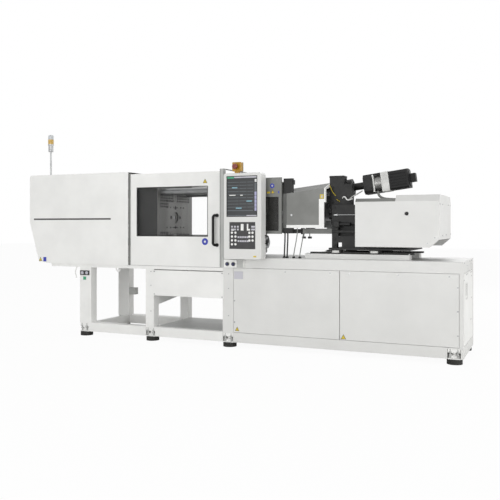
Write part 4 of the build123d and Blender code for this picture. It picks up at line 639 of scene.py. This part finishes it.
# Barrel tunnel: quarter-turn latch, blank yellow plate, screws in the flanges and the band
tunnel = {"faceY": -275, "backY": 405, "bandY": -277, "latch": (753, 1262), "mark": (1028, 1064, 1411, 1450)}
latch = startRod("tunnelLatch", (tunnel["latch"][0], tunnel["faceY"], tunnel["latch"][1]),
                 (tunnel["latch"][0], tunnel["faceY"] - 3.5, tunnel["latch"][1]), 10, 28)
insetFaces(latch, front, (2, 0.4), (4, -1.5))
finishPiece(latch, "unit", "groundSteel", 0.4)
x0, x1, z0, z1 = tunnel["mark"]
blankPlate("tunnelMarkYellow", (x0, tunnel["faceY"] - 0.6, z0), (x1, tunnel["faceY"], z1), "unit", "printYellow",
           front, 0.2)
blankPlate("tunnelMarkInner", (x0 + 10, tunnel["faceY"] - 1.0, z0 + 10), (x1 - 10, tunnel["faceY"] - 0.5, z1 - 10),
           "unit", "printPlate", front, 0.1)
flangeScrews = [((684, tunnel["faceY"], z), front) for z in (1165, 1260, 1355, 1445)]
flangeScrews += [((684, tunnel["backY"], z), back) for z in (1165, 1260, 1355, 1445)]
finishPiece(scatter(socketHead(5, 3), "flangeScrews", flangeScrews), "unit", "guardPaint")
bandScrews = [((1044, tunnel["bandY"], z), front) for z in (1200, 1300, 1395)]
bandScrews += [((x, tunnel["bandY"], 1156), front) for x in (730, 840, 950)]
bandScrews += [((1044, 407, z), back) for z in (1200, 1300, 1395)]
finishPiece(scatter(socketHead(4, 2), "bandScrews", bandScrews), "unit", "powderWhite")
print("tunnel dressed")

# Leads from the shroud and hoses from the tunnel, bent down from the unit above to the base below
leads = {"topX": (682, 710), "slant": 7, "y": -262, "top": 1090.7, "radius": 7}
hoses = {"topX": (804, 864), "slant": 36, "y": -261, "top": 1142.7, "radius": 4.5}
for name, run, finish in (("unitLead", leads, "cableJacket"), ("unitHose", hoses, "guardPaint")):
    pieces = []
    for x in run["topX"]:
        span = run["top"] - baseTop
        points = [(x, run["y"], run["top"]), (x, run["y"], run["top"] - span * 0.2),
                  (x - run["slant"] * 0.35, run["y"], run["top"] - span * 0.45),
                  (x - run["slant"] * 0.8, run["y"], baseTop + span * 0.25),
                  (x - run["slant"], run["y"], baseTop + span * 0.1), (x - run["slant"], run["y"], baseTop)]
        pieces.append(bentBar(name, points, run["radius"], None, finish))
    piece = joinPieces(name + "s", pieces)
    piece.data.materials.clear()
    piece.data.materials.append(materials[finish])
    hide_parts("unit_leads")
    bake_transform(piece)
glands = [((x - run["slant"], run["y"], baseTop), up) for run in (leads, hoses) for x in run["topX"]]
finishPiece(scatter(hexHead(13, 14), "leadGlands", glands), "frame", "blackPlastic")

# Injection housing: sensor wires, oil line with its fittings, valve block, hose, pipe and terminal lid
wire = {"y": -147, "radius": 2.6}
housing = {"lowY": -205, "highY": 335, "boltX": (1145, 1396), "boltZ": (985, 1040, 1330),
           "headY": -140, "headX": (1110, 1265), "headZ": (1380, 1520)}
bentBar("sensorWireLong", [(1082, wire["y"], 1538), (1090, wire["y"] - 6, 1520), (1104, wire["y"] - 8, 1490),
                           (1122, wire["y"] - 8, 1462), (1140, wire["y"], 1440)],
        wire["radius"], "unit", "printYellow")
bentBar("sensorWireShort", [(1150, wire["y"], 1408), (1158, wire["y"] - 8, 1398), (1172, wire["y"] - 8, 1392),
                            (1180, wire["y"], 1386)], wire["radius"], "unit", "printYellow")
bentBar("whiteHose", [(1205, wire["y"], 1418), (1218, -158, 1434), (1236, -160, 1424), (1250, -160, 1400),
                      (1272, -158, 1398), (1300, wire["y"], 1412)], 6, "unit", "printWhite")
bentBar("greyPipe", [(1268, wire["y"], 1404), (1290, -156, 1424), (1330, -156, 1444), (1362, -150, 1462),
                     (1384, -118, 1482)], 6, "unit", "castAluminium")
bentBar("motorCable", [(1500, 0, 1482), (1504, -4, 1462), (1516, -8, 1436), (1545, -12, 1418), (1590, -16, 1408),
                       (1640, -20, 1406)], 11, "unit", "guardPaint")
oil = {"y": -213, "z": 1262, "x": (1132, 1358), "radius": 4.5}
bentBar("oilLine", [(oil["x"][0], -204, oil["z"]), (oil["x"][0] + 6, oil["y"], oil["z"]),
                    (1240, oil["y"], oil["z"]), (1330, oil["y"], oil["z"]), (oil["x"][1], oil["y"], oil["z"])],
        oil["radius"], "unit", "groundSteel")
nuts = [((x, oil["y"], oil["z"]), right) for x in (1148, 1166)]
finishPiece(scatter(hexHead(9, 12), "oilNuts", nuts), "unit", "groundSteel")
block = startBox("valveBlock", (1141, -243, 1150), (1200, -204, 1204))
insetFaces(block, front, (9, 3))
finishPiece(block, "unit", "blackCasting", 2)
valve = startRod("valveStem", (1200, -224, 1177), (1300, -224, 1177), 15, 28)
insetFaces(valve, right, (4, 2))
finishPiece(valve, "unit", "blackPlastic", 1.5)
rib = startBox("housingRib", (1121, -211, 1098), (1420, -203, 1122))
insetFaces(rib, front, (4, 1.5))
finishPiece(rib, "unit", "blackCasting", 2)
casting = [((x, y, z), way) for y, way in ((housing["lowY"], front), (housing["highY"], back))
           for x in housing["boltX"] for z in housing["boltZ"]]
finishPiece(scatter(hexHead(11, 9), "housingBolts", casting), "unit", "blackCasting")
headBolts = [((x, housing["headY"], z), front) for x in housing["headX"] for z in housing["headZ"]]
finishPiece(scatter(socketHead(9, 8), "headBolts", headBolts), "unit", "blackCasting")
lid = startBox("terminalLid", (1077, -143, 1606), (1219, -37, 1625))
insetFaces(lid, up, (6, 2))
finishPiece(lid, "unit", "blackCasting", 2)
terminalGlands = [((1216, -92, z), right) for z in (1572, 1592)]
finishPiece(scatter(hexHead(8, 14), "terminalGlands", terminalGlands), "unit", "blackPlastic")
print("injection housing dressed")

# Inclined drive: a turn about Y puts pieces on its axis
drive = {"origin": (1368, 65, 1543), "incline": 7.7, "gearSide": 87.5, "gearBolts": (16, 71), "neck": -118,
         "neckRadius": 57, "motorCap": (416, 421), "capRadius": 74, "sockets": (372, 404)}


def onDrive(along, across, rise):
    turn = math.radians(drive["incline"])
    x, y, z = drive["origin"]
    return (x + along * math.cos(turn) - rise * math.sin(turn), y + across,
            z + along * math.sin(turn) + rise * math.cos(turn))


def driveWay(direction):
    return Matrix.Rotation(-math.radians(drive["incline"]), 4, "Y") @ Vector(direction)


gearBolts = [(onDrive(along, side * drive["gearSide"], rise), driveWay((0, side, 0)))
             for side in (-1, 1) for along in drive["gearBolts"] for rise in (-44, 44)]
finishPiece(scatter(socketHead(7, 6), "gearBolts", gearBolts), "unit", "blackCasting")
neckBolts = [(onDrive(drive["neck"], drive["neckRadius"] * math.sin(turn), drive["neckRadius"] * math.cos(turn)),
              driveWay(right)) for turn in [math.radians(30 + 60 * step) for step in range(6)]]
finishPiece(scatter(socketHead(7, 7), "neckBolts", neckBolts), "unit", "groundSteel")
capStart, capEnd = drive["motorCap"]
motorCap = startRod("motorCap", onDrive(capStart, 0, 0), onDrive(capEnd, 0, 0), drive["capRadius"], 40)
insetFaces(motorCap, right, (12, 3))
finishPiece(motorCap, "unit", "blackPlastic", 2)
plugs = [(onDrive(along, -20, 80), driveWay(up)) for along in drive["sockets"]]
finishPiece(scatter(hexHead(15, 9), "motorSockets", plugs), "unit", "blackPlastic")
print("drive dressed")

# Injection cover: dark strip along the roof's edge, screws, and a ring in the hook hole
cover = {"endX": 2095, "lowY": -295, "highY": 425, "hole": (1820, 1268)}
strip = startBox("coverStrip", (1364, -20, -1), (1719, 20, 1))
strip.data.transform(Matrix.Translation(Vector((0, -281, 1390.5)) * mm) @ Matrix.Rotation(math.radians(47), 4, "X"))
finishPiece(strip, "unit", "guardPaint", 0.5)
endScrews = [((cover["endX"], y, z), right) for y, z in ((-102, 1349), (378, 1353), (110, 1081), (413, 1085),
                                                            (-108, 1077), (250, 1353), (-260, 1349))]
finishPiece(scatter(socketHead(6, 3), "coverEndScrews", endScrews), "unit", "groundSteel")
sideScrews = [((x, cover["lowY"], z), front) for x, z in ((1995, 1012), (2058, 1060))]
sideScrews += [((x, cover["highY"], z), back) for x in (1400, 1720, 2000) for z in (1010, 1340)]
finishPiece(scatter(socketHead(6, 3), "coverSideScrews", sideScrews), "unit", "groundSteel")
ring = openHole(startRod("hookRing", (0, 0, 0), (0, 0, 3), 17, 32), up, 4)
ring = scatter(ring, "hookRing", [((cover["hole"][0], cover["lowY"], cover["hole"][1]), front)])
finishPiece(ring, "unit", "blackPlastic")
plug = startRod("hookPlug", (cover["hole"][0], cover["lowY"] + 1, cover["hole"][1]),
                (cover["hole"][0], cover["lowY"] + 3, cover["hole"][1]), 14, 28)
insetFaces(plug, front, (2, -0.5))
finishPiece(plug, "unit", "blackPlastic")

# Way of the carriage: dark ground rails on the pads, bright ends on the guide blocks, end stops
way = {"x": (912, 1863), "halfWidth": 22.15, "z": (905.5, 921.15), "padTop": 905}
for name, y in (("wayRailFront", -185), ("wayRailRear", 315)):
    rail = startBox(name, (way["x"][0], y - way["halfWidth"], way["z"][0]),
                    (way["x"][1], y + way["halfWidth"], way["z"][1]))
    insetFaces(rail, right, (2, -0.3), both=True)
    finishPiece(rail, "frame", "blackCasting")
inserts = []
for x in (1120, 1475):
    for y, side in ((-233, -1), (363, 1)):
        plate = startBox("insert", (x + 12, min(y, y + side * 2), 917), (x + 78, max(y, y + side * 2), 937))
        inserts.append(insetFaces(plate, front, (2, -0.4), both=True))
finishPiece(joinPieces("guideInserts", inserts), "unit", "castAluminium", 0.4)
stops = [((x, y, way["padTop"]), up) for x in (890, 1826) for y in (-215, 345)]
finishPiece(scatter(socketHead(9, 7), "wayStops", stops), "frame", "groundSteel")
touch = startBox("touchCap", (810, -179, 1083), (830, -121, 1141))
insetFaces(touch, left, (6, 2))
finishPiece(touch, "unit", "blackPlastic", 2)
print("cover and way dressed")

# End of the base: screws, and three dark plates in rims, their grey painted shade inside the openings
endFace = {"x": 2295, "rim": 8,
           "screws": ((-256, 846), (156, 846), (300, 846), (-278, 703), (300, 706), (292, 508), (249, 314))}
finishPiece(scatter(socketHead(6, 3), "endScrews", [((endFace["x"], y, z), right) for y, z in endFace["screws"]]),
            "frame", "groundSteel")
holds = {"holdUpperFront": (-134, 14, 742, 820), "holdUpperRear": (190, 345, 742, 820),
         "holdLower": (-140, -40, 535, 655)}
for name, (y0, y1, z0, z1) in holds.items():
    openFrame(name + "Rim", (endFace["x"] - 0.5, y0 - endFace["rim"], z0 - endFace["rim"]),
              (endFace["x"] + 2, y1 + endFace["rim"], z1 + endFace["rim"]), endFace["rim"], left,
              "frame", "powderPanel", 0.6)
    # the plate's grey is painted shade inside the opening
    hold = startBox(name, (endFace["x"] - 1, y0, z0), (endFace["x"] + 0.6, y1, z1))
    insetFaces(hold, right, (4, -1))
    finishPiece(hold, "frame", "guardPaint")
print("base end dressed")

# Clamp: black sheets on the moving platen's sides, tapped holes in its mould face, and grey strips beside the hood as
# painted shadow of the gap between hood and doors
platen = {"x": (-928, -688), "y": (-296, 426), "z": (840, 1620), "tapY": [-232 + 34 * step for step in range(18)],
          "tapRows": (1478, 1450, 1422, 1062, 1034, 1006, 978), "shortRows": (1390, 1362, 1090)}
# thin black sheets over the moving platen's front and rear sides
for name, y0, y1 in (("platenDarkFront", platen["y"][0] - 0.5, platen["y"][0]),
                     ("platenDarkRear", platen["y"][1], platen["y"][1] + 0.5)):
    paint = startBox(name, (platen["x"][0], y0, platen["z"][0] + 60), (platen["x"][1] - 3, y1, platen["z"][1] - 16))
    insetFaces(paint, front, (4, 0), both=True)
    finishPiece(paint, "clamp", "blackCasting")
holes = [((platen["x"][1], y, z), right) for z in platen["tapRows"] for y in platen["tapY"] if abs(y - 65) > 30]
holes += [((platen["x"][1], y, z), right) for z in platen["shortRows"] for y in platen["tapY"][:5]]
tap = insetFaces(startRod("tap", (0, 0, 0), (0, 0, 0.8), 12, 12), up, (2, -0.4))
finishPiece(scatter(tap, "platenTaps", holes), "clamp", "blackPlastic")
cores = [((platen["x"][1], y, z), right) for y, z in ((-28, 1250), (158, 1250), (65, 1352), (65, 1148))]
core = insetFaces(startRod("core", (0, 0, 0), (0, 0, 0.8), 19, 20), up, (3, -0.4))
finishPiece(scatter(core, "platenCores", cores), "clamp", "blackPlastic")
# grey strips at the seam of hood and doors: painted shadow of the gap between them
gapShades = {"x": (-1007, -989), "z": (763, 1700), "gapShadeFront": (-341, -336.5), "gapShadeRear": (466.5, 471)}
for name in ("gapShadeFront", "gapShadeRear"):
    (x0, x1), (y0, y1), (z0, z1) = gapShades["x"], gapShades[name], gapShades["z"]
    gapShade = startBox(name, (x0, y0, z0), (x1, y1, z1))
    insetFaces(gapShade, front, (3, -0.5), both=True)
    finishPiece(gapShade, "frame", "guardPaint", 0.4)

# Tunnel's left flange beside the nozzle guard, hanging loops under the hood, screws of the chute and the posts
flange = startBox("tunnelFlange", (666, -279, 1146), (701, -275.3, 1462))
insetFaces(flange, front, (3, -0.6))
# the flange's darker grey is painted shade
finishPiece(flange, "unit", "guardPaintShaded", 0.6)
bentBar("hoodLoopLeft", [(-1648, -322, 752), (-1676, -324, 728), (-1692, -326, 690), (-1694, -326, 650),
                         (-1680, -326, 606)], 6, "frame", "powderWhite")
bentBar("hoodLoopRight", [(-1196, -300, 752), (-1186, -304, 712), (-1168, -306, 684), (-1146, -304, 690),
                          (-1138, -300, 716)], 6, "frame", "powderWhite")
touchFittings = []
for x in (830, 888):
    rod = startRod("rod", (x, -150, 1090), (x, -150, 1062), 4, 12)
    touchFittings.append(insetFaces(rod, up, (1, 0.3), both=True))
    sensor = startRod("sensor", (x - 16, -150, 1052), (x + 18, -150, 1052), 10, 18)
    touchFittings.append(insetFaces(sensor, right, (2, 1), both=True))
finishPiece(joinPieces("touchSensors", touchFittings), "unit", "keySheet", 0.5)
for name, x0, x1 in (("postSeamLeft", 36, 42), ("postSeamRight", 76, 82)):
    seam = startBox(name, (x0, frontY - 0.6, 762), (x1, frontY + 0.2, 1712))
    insetFaces(seam, front, (1, -0.2))
    finishPiece(seam, "frame", "guardPaint")
chuteScrews = [((x, -341, z), front) for x in (-700, 63) for z in (474, 703)]
finishPiece(scatter(socketHead(6, 3), "chuteScrews", chuteScrews), "frame", "groundSteel")
postScrews = [((x, frontY, z), front) for x in (-742, 130) for z in (700, 560, 300)]
finishPiece(scatter(socketHead(5, 3), "postScrews", postScrews), "frame", "groundSteel")
print("clamp end dressed")

# Studio: floor, soft lamps, camera

studio = {"floorSize": 60.0, "floorTone": "#efefed", "floorWhite": 0.95, "skyFill": 0.6}

bpy.ops.object.select_all(action="DESELECT")
bpy.ops.mesh.primitive_plane_add(size=studio["floorSize"], location=(0, 0, -0.001))
floor = bpy.context.object
floor.name = "studioFloor"
material = newMaterial("studioFloorPaper")
rays = addNode(material, "ShaderNodeLightPath")
paper = addNode(material, "ShaderNodeBsdfDiffuse", {}, {"Color": hexToLinear(studio["floorTone"])})
white = addNode(material, "ShaderNodeEmission", {}, {"Color": (1, 1, 1, 1), "Strength": 1.0})
seen = addNode(material, "ShaderNodeMath", {"operation": "MAXIMUM"})
material.node_tree.links.new(rays.outputs["Is Camera Ray"], seen.inputs[0])
material.node_tree.links.new(rays.outputs["Is Transmission Ray"], seen.inputs[1])
share = addNode(material, "ShaderNodeMath", {"operation": "MULTIPLY"})
material.node_tree.links.new(seen.outputs[0], share.inputs[0])
share.inputs[1].default_value = studio["floorWhite"]
mixed = addNode(material, "ShaderNodeMixShader", {}, {"Fac": share.outputs[0]})
material.node_tree.links.new(paper.outputs["BSDF"], mixed.inputs[1])
material.node_tree.links.new(white.outputs["Emission"], mixed.inputs[2])
addNode(material, "ShaderNodeOutputMaterial", {}, {"Surface": mixed.outputs["Shader"]})
floor.data.materials.append(material)

scene = bpy.context.scene
world = bpy.data.worlds.new("studioWorld")
world.use_nodes = True
world.node_tree.nodes.clear()
scene.world = world
rays = addNode(world, "ShaderNodeLightPath")
first = addNode(world, "ShaderNodeMath", {"operation": "MAXIMUM"})
world.node_tree.links.new(rays.outputs["Is Camera Ray"], first.inputs[0])
world.node_tree.links.new(rays.outputs["Is Transmission Ray"], first.inputs[1])
both = addNode(world, "ShaderNodeMath", {"operation": "MAXIMUM"})
world.node_tree.links.new(first.outputs[0], both.inputs[0])
world.node_tree.links.new(rays.outputs["Is Glossy Ray"], both.inputs[1])
level = addNode(world, "ShaderNodeMapRange", {},
                {"Value": both.outputs[0], "To Min": studio["skyFill"], "To Max": 1.0})
sky = addNode(world, "ShaderNodeBackground", {}, {"Color": (1, 1, 1, 1), "Strength": level.outputs["Result"]})
addNode(world, "ShaderNodeOutputWorld", {}, {"Surface": sky.outputs["Background"]})

# name, place, aimed at, size in metres, watts
lamps = [
    ("keyLamp", (-3.5, -6.5, 5.2), (-0.6, 0, 0.9), 4.0, 55),
    ("lowLamp", (-0.2, -7.5, 0.8), (-0.8, 0, 0.6), 4.0, 180),
    ("endLamp", (7.0, -2.0, 1.4), (1.8, 0, 1.0), 3.0, 135),
    ("backLamp", (1.0, 6.0, 4.5), (0, 0, 1.0), 4.0, 110),
]
for name, place, target, size, watts in lamps:
    lamp = bpy.data.lights.new(name, "AREA")
    lamp.shape = "DISK"
    lamp.size = size
    lamp.energy = watts
    obj = bpy.data.objects.new(name, lamp)
    scene.collection.objects.link(obj)
    obj.location = place
    obj.rotation_euler = (Vector(target) - Vector(place)).to_track_quat("-Z", "Y").to_euler()

# The photograph's camera: level, turned 23.9 degrees to the left, horizon 24 px above the middle
view = {"place": (2.9539, -6.2054, 1.1605), "turn": 23.88, "lens": 48.78, "shiftY": -0.048}
camera = bpy.data.cameras.new("photoCamera")
camera.lens = view["lens"]
camera.sensor_width = 36
camera.shift_y = view["shiftY"]
camera.clip_end = 200
cameraObject = bpy.data.objects.new("photoCamera", camera)
scene.collection.objects.link(cameraObject)
cameraObject.location = view["place"]
cameraObject.rotation_euler = (math.radians(90), 0, math.radians(view["turn"]))
scene.camera = cameraObject
scene.view_settings.view_transform = "Standard"
print("studio made")
